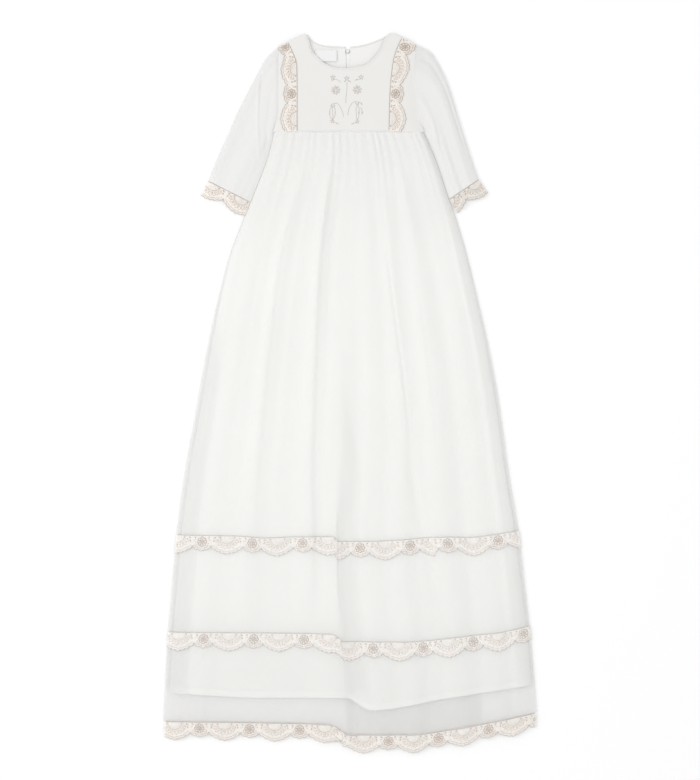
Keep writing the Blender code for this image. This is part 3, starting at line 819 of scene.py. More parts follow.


# Painted shade along the skirt, read from its foot up: its cloths darken towards the gathered waist,
# and low down below the lower tier of lace.
TOP_PAINTED_SHADE = table_of(Step, (0.50, 1.0), (0.76, 1.0), (0.90, 0.978), (1.0, 0.958))
ORGANZA_PAINTED_SHADE = table_of(
    Step, (0.045, 1.0), (0.065, 0.965), (0.14, 0.965), (0.22, 0.99), *TOP_PAINTED_SHADE
)
LINING_PAINTED_SHADE = table_of(
    Step, (0.0, 0.955), (0.14, 0.96), (0.20, 0.985), (0.32, 0.992), *TOP_PAINTED_SHADE
)
ORGANZA = ClothFinish(
    "organza",
    "organza",
    (0.895, 0.89, 0.875),
    (0.87, 0.865, 0.85),
    alpha=0.41,
    roughness=0.5,
    tones=ORGANZA_PAINTED_SHADE,
)
PLEAT_CLOTH = replace(
    ORGANZA,
    name="pleat_organza",
    cover=table_of(Step, (0.0, 0.02), (0.15, 0.03), (0.45, 0.19), (0.7, 0.24), (1.0, 0.0)),
    width=PLEAT_WIDTH,
)
# Painted light and shade on the sleeves: their organza is lighter than the skirt's, and the across
# tables paint shade at the outer edge, where the cloth turns, and at the inner edge, in the dip beside
# the skirt; the right sleeve's shade is deeper.
SLEEVE_LEFT_CLOTH = ClothFinish(
    "sleeve_left_organza",
    "organza",
    (0.93, 0.925, 0.915),
    (0.905, 0.90, 0.89),
    alpha=0.72,
    roughness=0.5,
    across=table_of(
        Step, (0.0, 0.94), (0.06, 0.965), (0.11, 1.0), (0.42, 1.0), (0.47, 0.975), (0.5, 0.95)
    ),
    width=2 * SLEEVE_WIDTH,
)
SLEEVE_RIGHT_CLOTH = replace(
    SLEEVE_LEFT_CLOTH,
    name="sleeve_right_organza",
    across=table_of(
        Step, (0.0, 0.94), (0.11, 0.95), (0.16, 1.0), (0.46, 1.0), (0.48, 0.95), (0.5, 0.93)
    ),
)
LINING_SIDES = table_of(
    Step, (0.0, 0.80), (0.025, 0.88), (0.06, 1.0), (0.955, 1.0), (0.975, 0.92), (1.0, 0.82),
)
LINING = ClothFinish(
    "lining_cloth",
    "lining",
    (0.905, 0.905, 0.89),
    (0.885, 0.885, 0.87),
    thread=0.3,
    tones=LINING_PAINTED_SHADE,
    cover=LINING_SIDES,
)
# Painted shade: the lining's own cloth, made darker on its turned hem.
LINING_HEM_PAINTED_SHADE = replace(
    LINING,
    name="lining_hem",
    colour=(0.875, 0.875, 0.86),
    shade=(0.86, 0.86, 0.845),
    tones=(),
)
BODICE = ClothFinish(
    "bodice_cloth", "lining", (0.755, 0.747, 0.728), (0.738, 0.73, 0.71), roughness=0.55
)
# Painted light: the back panels' cloth is made lighter than the front's, to lift the shade on it inside
# the neck.
BODICE_BACK_PAINTED_LIGHT = ClothFinish("bodice_back_cloth", "lining", (0.80, 0.793, 0.775), (0.785, 0.778, 0.76))
BINDING = ClothFinish(
    "neck_binding_cloth", "binding", (0.75, 0.745, 0.73), (0.72, 0.715, 0.70), weave=0.3
)
LABEL = ClothFinish(
    "label_cloth", "label", (0.80, 0.80, 0.80), (0.775, 0.775, 0.78), thread=0.25, weave=0.25
)
LACE_THREADS = (
    ThreadFinish("outline", (0.60, 0.52, 0.46), (0.50, 0.42, 0.36)),
    ThreadFinish("filling", (0.82, 0.735, 0.655), (0.71, 0.61, 0.525)),
    ThreadFinish("pale", (0.88, 0.86, 0.83), (0.84, 0.815, 0.78)),
    ThreadFinish("heading", (0.52, 0.45, 0.395), (0.43, 0.365, 0.315)),
)
EMBROIDERY_DARK = ThreadFinish("embroidery_thread", (0.66, 0.605, 0.56), (0.59, 0.53, 0.485))
EMBROIDERY_LIGHT = ThreadFinish("embroidery_pale_thread", (0.73, 0.675, 0.63), (0.67, 0.61, 0.565))
WHITE_THREAD = ThreadFinish("sewing_thread", (0.84, 0.83, 0.815), (0.76, 0.75, 0.735), 0.5, "binding")
LOOP_THREAD = replace(
    WHITE_THREAD,
    name="loop_thread",
    colour=(0.80, 0.79, 0.775),
    shade=(0.70, 0.69, 0.675),
    source="Object",
)
NET_COLOUR = (0.92, 0.872, 0.818)
NET_SHADE = (0.885, 0.83, 0.768)
Finish = ClothFinish | NetFinish | ThreadFinish | PearlFinish


def lifted(colour: tuple[float, ...], lift: float) -> tuple[float, ...]:
    """A colour moved towards white by a share, or towards black by a share below nought."""
    goal = 1.0 if lift > 0 else 0.0
    return tuple(channel + (goal - channel) * abs(lift) for channel in colour)


def lace_finishes(name: str, lift: float) -> tuple[NetFinish, tuple[ThreadFinish, ...]]:
    """The net and the threads of one strip of lace.

    Args:
        name: The strip's name.
        lift: How far its colours are lifted: painted light where it is above nought, painted shade
            below it, which on the right cuff also stands for its denser, crumpled lace.

    Returns:
        The net's finish and the threads' finishes.
    """
    net = NetFinish(f"{name}_net", lifted(NET_COLOUR, lift), lifted(NET_SHADE, lift))
    threads = tuple(
        ThreadFinish(f"{name}_{t.name}_thread", lifted(t.colour, lift), lifted(t.shade, lift))
        for t in LACE_THREADS
    )
    return net, threads


class Workroom:
    """Writes finished pieces: meshes with their materials, which ride on the gown's body."""

    def __init__(self) -> None:
        """Starts with no material made."""
        self.made: dict[str, Material] = {}

    def material(self, finish: Finish) -> Material:
        """The material of a finish, made once.

        Args:
            finish: The finish.

        Returns:
            Its material.
        """
        if finish.name not in self.made:
            self.made[finish.name] = finish.make()
        return self.made[finish.name]

    def piece(
        self,
        name: str,
        points: Array,
        faces: Sequence[Sequence[int]],
        uv: Array,
        finishes: Sequence[Finish],
        face_finish: Sequence[int] | None = None,
    ) -> Piece:
        """Makes a piece from points in millimetres.

        Args:
            name: The piece's name.
            points: Its points, a row of x, y and z for each.
            faces: Its faces, as indices of points.
            uv: A place in the cloth for each point, in millimetres.
            finishes: Its finishes.
            face_finish: Which finish each face has; the first if not given.

        Returns:
            The piece.
        """
        mesh = bpy.data.meshes.new(name)
        mesh.from_pydata((np.asarray(points) * MM).tolist(), [], [tuple(f) for f in faces])
        layer = mesh.uv_layers.new(name="cloth")
        corners = np.empty(len(mesh.loops), np.int32)
        mesh.loops.foreach_get("vertex_index", corners)
        layer.data.foreach_set("uv", (np.asarray(uv)[corners] * MM).astype(np.float32).ravel())
        for finish in finishes:
            mesh.materials.append(self.material(finish))
        if face_finish is not None:
            mesh.polygons.foreach_set("material_index", np.asarray(face_finish, np.int32))
        mesh.shade_smooth()
        mesh.update()
        obj = bpy.data.objects.new(name, mesh)
        bpy.context.scene.collection.objects.link(obj)
        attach(obj, "root")
        LOG.info("%s: %d faces", name, len(mesh.polygons))
        return obj

    def grid(
        self, name: str, points: Array, uv: Array, finish: Finish, around: bool = False
    ) -> Piece:
        """Makes a sheet from a grid of points, with its outer face up.

        Args:
            name: The piece's name.
            points: Rows of points, in millimetres, from the top row down and from left to right.
            uv: The grid's places in the cloth, in millimetres.
            finish: Its finish.
            around: Whether the last column joins the first, as in a tube.

        Returns:
            The piece.
        """
        rows, columns = points.shape[:2]
        index = np.arange(rows * columns).reshape(rows, columns)
        if around:
            index = np.concatenate([index, index[:, :1]], axis=1)
        quads = np.stack(
            [index[:-1, :-1], index[1:, :-1], index[1:, 1:], index[:-1, 1:]], axis=-1
        ).reshape(-1, 4)
        return self.piece(name, points.reshape(-1, 3), quads.tolist(), uv.reshape(-1, 2), [finish])


ROOM = Workroom()
TONE_ORDER = (Tone.OUTLINE, Tone.FILLING, Tone.PALE, Tone.HEADING)


@dataclass
class SkirtForm:
    """The skirt's form as it lies: its plan, its folds and its gathers."""

    gathers: int = 20
    gather_height: float = 1.7
    side_reach: float = 20.0
    waist_side_reach: float = 9.0
    drop_power: float = 1.9
    fold_rise: float = 0.12
    fold_fade: float = 0.2
    waist_seam: float = 2.2
    lining_seam: float = 14.0
    lining_gap: float = 0.35
    lining_below: float = 0.25

    def plan(
        self, across: Array, down: Array, drops: Sequence[Drop] = HEM_DROPS
    ) -> tuple[Array, Array]:
        """Plan points of the skirt.

        Args:
            across: Shares of its width.
            down: Shares of its length.
            drops: How the hem hangs.

        Returns:
            The x values and the y values.
        """
        across, down = np.broadcast_arrays(np.asarray(across, float), np.asarray(down, float))
        level = WAIST_Y - SKIRT_LENGTH * down
        fall = np.abs(down) ** self.drop_power
        tuck = np.interp(across, column(TUCKS, "at"), column(TUCKS, "value"))
        share = across + tuck * read_steps(TUCKS_DOWN, down)
        ys = column(SKIRT_SIDES, "y")
        left = smooth(level - drops[0].down * fall, ys, column(SKIRT_SIDES, "left"))
        right = smooth(level - drops[-1].down * fall, ys, column(SKIRT_SIDES, "right"))
        drop = smooth(across, column(drops, "across"), column(drops, "down"))
        return left + share * (right - left), level - drop * fall

    def side_x(self, y: Array | float, side: int) -> Array:
        """Where a side edge lies across: the right one for side 1 and the left one for -1."""
        name = "right" if side > 0 else "left"
        return smooth(y, column(SKIRT_SIDES, "y"), column(SKIRT_SIDES, name))

    def folds(self, across: Array, down: Array, table: Sequence[Fold]) -> Array:
        """Height of a table's folds.

        Args:
            across: Shares of the width.
            down: Shares of the length.
            table: The folds.

        Returns:
            Their height.
        """
        height = np.zeros(np.broadcast(across, down).shape)
        for fold in table:
            centre = fold.waist + (fold.hem - fold.waist) * down
            away = across - centre
            reach = np.where(away < 0, fold.left, fold.right)
            share = ramp(np.abs(away), 0, reach)
            rise = ramp(down, fold.start, self.fold_rise)
            fade = ramp(-down, -fold.end, self.fold_fade)
            swell = 0.5 * (1 + np.cos(math.pi * share))
            height = height + fold.height * ease(rise) * ease(fade) * swell
        return height

    def gathering(self, across: Array, down: Array) -> Array:
        """Height of the gathers, which meet and fade on their way down.

        Args:
            across: Shares of the width.
            down: Shares of the length.

        Returns:
            Their height.
        """
        swell = 1 - 0.28 * (1 - wave(3.3 * across))
        warp = 0.16 * wave(4.3 * across + 1.1 * down) + 0.1 * np.sin(47 * across)
        fine = 0.5 - 0.5 * np.cos(2 * math.pi * (self.gathers * across + warp))
        broad = 0.5 - 0.5 * np.cos(2 * math.pi * (self.gathers / 2 * across + 0.3 + warp))
        meet = ramp(down, 0.05, 0.2)
        gathered = (1 - meet) * fine**0.85 + meet * broad
        return self.gather_height * read_steps(GATHERS_DOWN, down) * swell * gathered

    def ripple(self, across: Array, down: Array) -> Array:
        """Small uneven waves of light cloth.

        Args:
            across: Shares of the width.
            down: Shares of the length.

        Returns:
            Their height.
        """
        first = wave(7.3 * across + 1.9 * down) * wave(2.1 * down - 1.7 * across)
        second = wave(15.7 * across - 2.3 * down + 0.4 * np.sin(9 * down))
        third = wave(3.7 * across + 8.1 * down) * np.sin(31 * across)
        return 0.12 * first + 0.05 * second * np.sin(5 * down + 11 * across) + 0.06 * third

    def front_height(self, across: Array, down: Array) -> Array:
        """Height of the skirt's front at shares of its width and length."""
        return SIDE_Z + self.rise(across, down) * (self.front_level(across, down) - SIDE_Z)

    def front_level(self, across: Array, down: Array) -> Array:
        """Height that the front has away from the side seams.

        Args:
            across: Shares of the width.
            down: Shares of the length.

        Returns:
            The height.
        """
        relief = self.folds(across, down, LONG_FOLDS) + self.folds(across, down, SOFT_CREASES)
        relief = relief + self.gathering(across, down) + self.ripple(across, down)
        seam = np.exp(-((down * SKIRT_LENGTH / self.waist_seam) ** 2))
        return (1 - seam) * (FRONT_Z + relief) + seam * (BODICE_FOOT_Z - 0.05)

    def rise(self, across: Array, down: Array) -> Array:
        """How far the layers have risen from the side seams.

        Args:
            across: Shares of the width.
            down: Shares of the length.

        Returns:
            0 at a side seam and 1 inside.
        """
        y = WAIST_Y - SKIRT_LENGTH * np.asarray(down, float)
        width = self.side_x(y, 1) - self.side_x(y, -1)
        reach = np.interp(down, (0, 0.30), (self.waist_side_reach, self.side_reach))
        return quarter(np.minimum(across, 1 - across) * width / reach)

    def height_at(self, x: Array, y: Array) -> Array:
        """Height of the skirt's front near its top, at points in plan.

        Args:
            x: Places across.
            y: Places up.

        Returns:
            The height, or 0 beside the skirt.
        """
        left, right = self.side_x(y, -1), self.side_x(y, 1)
        across = (x - left) / (right - left)
        down = np.clip((WAIST_Y - y) / SKIRT_LENGTH, 0, 1)
        height = self.front_height(np.clip(across, 0, 1), down)
        return np.where((across < 0) | (across > 1) | (y > WAIST_Y), 0.0, height)

    def lining_height(self, across: Array, down: Array) -> Array:
        """Height of the lining's front, which follows the folds a little.

        Args:
            across: Shares of the width.
            down: Shares of the length.

        Returns:
            The height.
        """
        own = LINING_FRONT_Z + 0.55 * self.folds(across, down, LONG_FOLDS)
        own = own + 0.35 * self.folds(across, down, SOFT_CREASES) + 0.3 * self.ripple(across, down)
        seam = np.exp(-((down * SKIRT_LENGTH / self.lining_seam) ** 2))
        level = (1 - seam) * own + seam * (self.front_level(across, down) - self.lining_gap)
        edge = SIDE_Z - self.lining_below
        return edge + self.rise(across, down) * (level - edge)


@dataclass
class Skirt:
    """The sheer skirt and its lining, front and back."""

    form: SkirtForm = field(default_factory=SkirtForm)
    columns: int = 270
    rows: int = 310
    lining_steps: int = 160
    back_columns: int = 80
    back_rows: int = 120
    made: dict[str, Piece] = field(default_factory=dict)

    def layer(
        self,
        name: str,
        finish: ClothFinish,
        z: Array | float,
        across: Array,
        down: Array,
        drops: Sequence[Drop],
        run: Array,
    ) -> Piece:
        """Makes a layer of cloth that follows the skirt's plan.

        Args:
            name: The piece's name.
            finish: Its cloth.
            z: Height of each of its points.
            across: Shares of the skirt's width.
            down: Shares of its length, a column.
            drops: How its hem hangs.
            run: Where its points are on its flat cloth, in millimetres from its left side.

        Returns:
            The piece.
        """
        x, y = self.form.plan(across, down, drops)
        uv = np.stack([run + 0 * x, (1 - down) * SKIRT_LENGTH + 0 * x], axis=-1)
        return ROOM.grid(name, np.stack([x, y, z + 0 * x], axis=-1), uv, finish)

    def sheet(self, name: str, *layer: ClothFinish | Array | float | Sequence[Drop]) -> None:
        """Makes one of the four sheets from what layer needs, in place of its solid."""
        self.made[name] = self.layer(f"{name}_cloth", *layer)
        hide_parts(name)

    def build(self) -> None:
        """Makes the four sheets, and the pieces that are sewn or folded to them."""
        across = np.linspace(0, 1, self.columns + 1)[None, :]
        shares = np.linspace(0, 1, self.rows + 1)
        down = (0.35 * shares + 0.65 * shares**1.25)[:, None]
        front = self.form.front_height(across, down)
        self.sheet("skirt_front", ORGANZA, front, across, down, HEM_DROPS, SKIRT_WIDTH * across)
        across = np.linspace(0, 1, self.back_columns + 1)[None, :]
        down = np.linspace(0, 1, self.back_rows + 1)[:, None]
        self.sheet("skirt_back", ORGANZA, BACK_Z, across, down, BACK_DROPS, SKIRT_WIDTH * across)
        end = 1 - LINING_SHORT / SKIRT_LENGTH
        down = np.linspace(0, end, self.lining_steps + 1)[:, None]
        inside, run = self.inside(down), self.lining_run(down)
        lining = self.form.lining_height(inside, down)
        self.sheet("lining_front", LINING, lining, inside, down, LINING_DROPS, run)
        inside, down, run = inside[::4, ::4], down[::4], run[::4, ::4]
        edge = SIDE_Z - 0.5
        plain = edge + self.form.rise(inside, down) * (LINING_BACK_Z - edge)
        self.sheet("lining_back", LINING, plain, inside, down, LINING_DROPS, run)
        self.made["lining_hem_turning"] = self.hem_turning(end)
        self.made["skirt_back_fold"] = self.fold_under()
        self.made["skirt_front_pleat"] = self.pleat()

    def between(self, left: Sequence[Step], right: Sequence[Step], down: Array) -> Array:
        """Even places across, a row for each share of the length, that keep off the sides.

        Args:
            left: How far they keep off the left side.
            right: How far they keep off the right side.
            down: Shares of the length, a column.

        Returns:
            Shares of the width.
        """
        first, last = read_steps(left, down), read_steps(right, down)
        return first + (1 - first - last) * np.linspace(0, 1, self.lining_steps + 1)[None, :]

    def inside(self, down: Array) -> Array:
        """Places across for the lining, whose sides lie in from the skirt's own."""
        return self.between(LINING_LEFT, LINING_RIGHT, down)

    def lining_run(self, down: Array) -> Array:
        """Where the lining's points are on its flat cloth, which shows thin towards its sides."""
        return SKIRT_WIDTH * self.between(SKIPPED_LEFT, SKIPPED_RIGHT, down)

    def fold_under(self, low: float = 0.996, height: float = 1.45, slant: float = 0.05) -> Piece:
        """Makes the spare cloth that lies folded between the layers to the right of the pleat.

        Args:
            low: The share of the length where it ends.
            height: Its height off the surface.
            slant: How far it leans to the right on its way up.

        Returns:
            The piece.
        """
        across = np.linspace(0.492, 0.852, 61)[None, :]
        down = np.linspace(0.93, low, 13)[:, None]
        place, run = across + slant * (low - down), across * SKIRT_WIDTH
        return self.layer("skirt_back_fold", ORGANZA, height, place, down, BACK_DROPS, run)

    def pleat(self, start: float = 0.475, width: float = 0.085, below: float = 0.25) -> Piece:
        """Makes the pleat's underlay, where the front's cloth lies doubled beside the pleat's edge.

        Args:
            start: Where the pleat's edge is, as a share of the skirt's width.
            width: How wide the underlay is where it is widest.
            below: How far it lies below the front.

        Returns:
            The piece.
        """
        share = np.linspace(0, 1, 17)[None, :]
        down = np.linspace(0.42, 0.93, 90)[:, None]
        across = start + width * share * read_steps(PLEAT_REACH, down)
        z = self.form.front_height(across, down) - below
        run = PLEAT_WIDTH * share
        return self.layer("skirt_front_pleat", PLEAT_CLOTH, z, across, down, HEM_DROPS, run)

    def hem_turning(self, end: float, width: float = 11.0, rows: int = 8) -> Piece:
        """Makes the turned hem of the lining's front, a second layer over its lowest part.

        Args:
            end: The share of the length where the lining ends.
            width: The turning's width.
            rows: How many rows of faces it has.

        Returns:
            The piece.
        """
        down = np.linspace(end - width / SKIRT_LENGTH, end, rows + 1)[:, None]
        across = self.inside(down)
        swell = 0.15 + 0.1 * np.sin(math.pi * np.linspace(0, 1, rows + 1))[:, None]
        z = self.form.lining_height(across, down) + swell * self.form.rise(across, down)
        run = self.lining_run(down)
        return self.layer("lining_hem_turning", LINING_HEM_PAINTED_SHADE, z, across, down, LINING_DROPS, run)


@dataclass
class BodiceForm:
    """The bodice's form: how its front stands over the back."""

    armhole_turn: float = 20.0
    shoulder_fall: float = 1.5

    def front_height(self, x: Array, y: Array) -> Array:
        """Height of the bodice's front.

        Args:
            x: Places across.
            y: Places up.

        Returns:
            The height.
        """
        level = 1 - ramp(y, WAIST_Y, NECK_RIGHT.y - WAIST_Y) ** self.shoulder_fall
        inside = np.minimum(x - edge_x(ARMHOLE_LEFT, y), edge_x(ARMHOLE_RIGHT, y) - x)
        turn = quarter(inside / self.armhole_turn)
        return BODICE_EDGE_Z + (BODICE_FOOT_Z - BODICE_EDGE_Z) * level * turn

    def drag(self, x: Array, y: Array) -> Array:
        """Faint drag lines in the bodice's cloth.

        Args:
            x: Places across.
            y: Places up.

        Returns:
            Their height.
        """
        slant = np.sin(0.055 * x + 0.09 * y) * np.sin(0.031 * y - 0.02 * x)
        upright = np.sin(0.21 * x + 0.4 * np.sin(0.05 * y)) * ramp(-y, -400, 34)
        return 0.22 * slant + 0.16 * upright

    def over(self, xy: Array, height: Array | float) -> Array:
        """Points at heights over the bodice's front.

        Args:
            xy: Their places in plan.
            height: How high over its cloth they are.

        Returns:
            An array of x, y and z.
        """
        x, y = xy[..., 0], xy[..., 1]
        z = self.front_height(x, y) + self.drag(x, y) + height
        return np.concatenate([xy, z[..., None]], axis=-1)


@dataclass
class Bodice:
    """The bodice's front and back panels, with the slit at the middle of the back."""

    form: BodiceForm = field(default_factory=BodiceForm)
    slit_x: float = -3.2
    slit_half: float = 2.5
    button_half: float = 3.6
    slit_length: float = 62.0
    back_z: float = BACK_Z + 0.3
    made: dict[str, Piece] = field(default_factory=dict)

    def panel(
        self, name: str, left: Array, right: Array, top: Array, up: Array, back: bool
    ) -> Piece:
        """Makes a panel between two side edges and a top line.

        Args:
            name: The piece's name, which is also its solid's.
            left: Points of its left edge, from the waist up.
            right: Points of its right edge.
            top: Points of its top line, from left to right.
            up: Shares of the height, one for each point of an edge.
            back: Whether it is a flat panel of the back.

        Returns:
            The piece.
        """
        lengths = run_of(top)
        u = (lengths / lengths[-1])[None, :, None]
        share = up[:, None, None]
        sides = (1 - u) * left[:, None] + u * right[:, None]
        foot = (1 - u) * left[:1, None] + u * right[:1, None]
        ends = (1 - share) * foot + share * top[None]
        corner = (1 - share) * foot + share * ((1 - u) * top[0] + u * top[-1])
        xy = (sides + ends - corner)[::-1]
        if back:
            points = np.concatenate([xy, np.full((*xy.shape[:2], 1), self.back_z)], axis=-1)
        else:
            points = self.form.over(xy, 0.0)
        piece = ROOM.grid(f"{name}_cloth", points, xy, BODICE_BACK_PAINTED_LIGHT if back else BODICE)
        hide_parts(name)
        self.made[name] = piece
        return piece

    def neck_top(self) -> float:
        """Height of the back neckline at the slit."""
        return float(smooth(self.slit_x, column(BACK_NECK, "x"), column(BACK_NECK, "y")))

    def slit(self, side: int) -> Array:
        """The edge of a back panel at the slit.

        Args:
            side: 1 for the right panel and -1 for the left.

        Returns:
            Its points, from the waist up.
        """
        top = self.neck_top()
        steps = (
            (0.0, WAIST_Y),
            (0.0, top - self.slit_length),
            (self.slit_half, top - self.slit_length + 9),
            (self.slit_half, top - 11),
            (self.button_half, top - 9),
            (self.button_half, top),
        )
        return np.array([(self.slit_x + side * half, y) for half, y in steps])

    def back_neck_half(self, side: int, steps: int) -> Array:
        """Points of one half of the back neckline, from the shoulder to the slit.

        Args:
            side: 1 for the right half and -1 for the left.
            steps: How many steps it has.

        Returns:
            Its points.
        """
        end = self.slit(side)[-1]
        half = [p for p in BACK_NECK if side * (p.x - end[0]) > 2]
        line = [*half, Point(*end)] if side < 0 else [*half[::-1], Point(*end)]
        return along(line, np.linspace(0, 1, steps + 1))

    def build(self) -> None:
        """Makes the five panels."""
        up = np.linspace(0, 1, 91)
        neck = along(FRONT_NECK, np.linspace(0, 1, 141))
        left, right = along(YOKE_SEAM_LEFT, up), along(YOKE_SEAM_RIGHT, up)
        shoulders = [(seam[-1] + end) / 2 for seam, end in ((left, neck[0]), (right, neck[-1]))]
        top = np.vstack([left[-1], shoulders[0], neck, shoulders[1], right[-1]])
        self.panel("bodice_front_center", left, right, top, up, False)
        across = np.linspace(0, 1, 31)[:, None]
        for name, outer, inner in (
            ("bodice_front_left", along(ARMHOLE_LEFT, up), left),
            ("bodice_front_right", right, along(ARMHOLE_RIGHT, up)),
        ):
            self.panel(name, outer, inner, (1 - across) * outer[-1] + across * inner[-1], up, False)
        for name, armhole, side in (
            ("bodice_back_left", ARMHOLE_LEFT, -1),
            ("bodice_back_right", ARMHOLE_RIGHT, 1),
        ):
            slit = self.slit(side)
            heights = (slit[:, 1] - slit[0, 1]) / (slit[-1, 1] - slit[0, 1])
            rows = np.unique(np.concatenate([heights, np.linspace(0, 1, 31)]))
            middle = np.stack([np.interp(rows, heights, slit[:, k]) for k in (0, 1)], axis=1)
            arm = along(armhole, rows)
            neckline = self.back_neck_half(side, 40)
            shoulder = np.linspace(arm[-1], neckline[0], 8)[:-1]
            top = np.vstack([shoulder, neckline])
            if side < 0:
                self.panel(name, arm, middle, top, rows, True)
            else:
                self.panel(name, middle, arm, top[::-1], rows, True)


SKIRT_FORM = SkirtForm()


class SleeveFold(NamedTuple):
    """A soft fold of a sleeve: its places across at the armhole and at the cuff, and its size."""

    top: float
    cuff: float
    reach: float
    height: float
    start: float
    end: float


LEFT_SLEEVE_FOLDS = table_of(
    SleeveFold,
    (-0.88, 2.58, 0.100, 1.4, 0.16, 0.54),
    (-0.70, 2.76, 0.080, -0.5, 0.14, 0.42),
    (0.32, 1.92, 0.110, -0.9, 0.04, 0.46),
    (0.62, 0.54, 0.110, 1.3, 0.30, 1.3),
    (0.32, 0.30, 0.070, -0.5, 0.30, 1.3),
    (0.88, 0.84, 0.070, -1.3, 0.10, 1.3),
    (0.12, 0.16, 0.050, 0.5, 0.15, 1.3),
)
RIGHT_SLEEVE_FOLDS = table_of(
    SleeveFold,
    (0.05, 0.02, 0.035, 0.5, -0.1, 0.95),
    (0.13, 0.09, 0.032, -1.8, -0.05, 0.90),
    (0.52, 1.26, 0.055, 1.5, -0.05, 0.62),
    (0.30, 0.26, 0.080, 0.6, 0.15, 1.2),
    (0.56, 0.52, 0.070, -0.8, 0.30, 1.3),
    (0.68, 0.66, 0.050, 0.9, 0.40, 1.3),
    (0.93, 0.90, 0.060, -1.2, 0.05, 1.3),
)


@dataclass
class SleeveForm:
    """One sleeve as it lies: a flattened tube beside the skirt."""

    sections: Sequence[Section]
    armhole: Sequence[Point]
    side: int
    folds: Sequence[SleeveFold]
    edge: float = 2.3
    inner_edge: float = 2.2
    floor: float = 0.7
    lap: float = 1.2
    tuck: float = 1.6
    follow: float = 2 / 7
    join_reach: float = 0.06
    outer_rise: float = 0.16
    inner_rise: float = 0.20
    easing_waves: int = 13

    def ends(self, share: Array | float) -> tuple[Array, Array, Array]:
        """The two ends of a section and its height.

        Args:
            share: How far down the sleeve the section is.

        Returns:
            The outer ends, the inner ends and the heights.
        """
        rows = np.linspace(0, 1, len(self.sections))
        values = {n: smooth(share, rows, column(self.sections, n)) for n in Section._fields}
        inner_x = SKIRT_FORM.side_x(values["inner_y"], self.side) - self.side * self.lap
        outer = np.stack([values["outer_x"], values["outer_y"]], axis=-1)
        inner = np.stack([inner_x, values["inner_y"]], axis=-1)
        return outer, inner, values["height"]

    def plan(self, share: Array, place: Array) -> Array:
        """Plan points on the sleeve.

        Args:
            share: How far down the sleeve.
            place: From 0 at its outer edge to 1 at its inner edge.

        Returns:
            An array of x and y.
        """
        outer, inner, _ = self.ends(share)
        xy = outer + place[..., None] * (inner - outer)
        hole = along(self.armhole[::-1], place)
        foot, head = np.array(self.armhole[0]), np.array(self.armhole[-1])
        chord = head + place[..., None] * (foot - head)
        xy[..., 0] += np.clip(1 - share / self.follow, 0, 1) * (hole - chord)[..., 0]
        xy[..., 0] -= self.side * self.tuck * self.join(share)
        return xy

    def join(self, share: Array) -> Array:
        """1 at the armhole, where the sleeve goes in under the bodice's edge, and 0 below it."""
        return np.clip(1 - share / self.join_reach, 0, 1) ** 2

    def top_height(self, share: Array, place: Array) -> Array:
        """Height of the upper layer, with its soft folds.

        Args:
            share: How far down the sleeve.
            place: From 0 at its outer edge to 1 at its inner edge.

        Returns:
            The height.
        """
        _, _, height = self.ends(share)
        arch = quarter(place / self.outer_rise) * ease(ramp(1 - place, 0, self.inner_rise))
        edge = self.edge + (self.inner_edge - self.edge) * place
        relief = 0.2 * np.sin(9 * place + 7 * share) * np.sin(5 * share + 3 * place)
        for fold in self.folds:
            centre = fold.top + (fold.cuff - fold.top) * share
            grown = ramp(share, fold.start, 0.15) * ramp(-share, -fold.end, 0.25)
            relief = relief + fold.height * grown * np.exp(-(((place - centre) / fold.reach) ** 2))
        easing = 0.5 - 0.5 * np.cos(2 * math.pi * self.easing_waves * place)
        easing = easing * np.exp(-((share / 0.08) ** 2)) * np.clip(1.2 - 1.6 * place, 0, 1)
        level = edge + (height - edge - 0.5 + relief + 0.5 * easing) * arch
        level = level + (BODICE_EDGE_Z - 0.15 - level) * self.join(share)
        return self.over_skirt(share, place, level, 0.4)

    def low_height(self, share: Array, place: Array) -> Array:
        """Height of the lower layer, which rises at its inner edge to lie on the skirt.

        Args:
            share: How far down the sleeve.
            place: From 0 at its outer edge to 1 at its inner edge.

        Returns:
            The height.
        """
        level = self.floor + 0.8 * (1 - np.sin(math.pi * np.clip(place, 0, 0.5)) ** 0.5)
        level = level + (self.inner_edge - 0.3 - level) * ramp(place, 0.88, 0.07)
        return self.over_skirt(share, place, level, 0.2)

    def over_skirt(
        self, share: Array, place: Array, level: Array, lift: float
    ) -> Array:
        """Keeps a layer over the skirt where the sleeve laps it.

        Args:
            share: How far down the sleeve.
            place: From 0 at its outer edge to 1 at its inner edge.
            level: The layer's own height.
            lift: How far over the skirt it stays.

        Returns:
            The height.
        """
        xy = self.plan(share, place)
        under = SKIRT_FORM.height_at(xy[..., 0], xy[..., 1])
        return np.where(under > 0, np.maximum(level, under + lift), level)


@dataclass
class Sleeve:
    """A sheer sleeve, a tube from the armhole to the seam of its lace."""

    name: str
    form: SleeveForm
    finish: ClothFinish
    around: int = 44
    rows: int = 110
    made: Piece | None = None

    def build(self) -> Piece:
        """Makes the tube.

        Returns:
            The piece.
        """
        share = np.linspace(0, 1, self.rows + 1)[:, None]
        turn = np.linspace(0, math.pi, self.around + 1)
        place = (0.5 - 0.5 * np.cos(turn))[None, :]
        share_grid, place_grid = np.broadcast_arrays(share, place)
        xy = self.form.plan(share_grid, place_grid)
        upper, lower = (
            np.concatenate([xy, height(share_grid, place_grid)[..., None]], axis=-1)
            for height in (self.form.top_height, self.form.low_height)
        )
        points = np.concatenate([upper, lower[:, ::-1]], axis=1)
        girth = SLEEVE_WIDTH * np.concatenate([place, 2 - place[:, ::-1]], axis=1)
        if self.form.side > 0:
            points, girth = points[:, ::-1], girth[:, ::-1]
        uv = np.stack(np.broadcast_arrays(girth, SLEEVE_LENGTH * share), axis=-1)
        self.made = ROOM.grid(f"{self.name}_cloth", points, uv, self.finish, True)
        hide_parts(self.name)
        return self.made


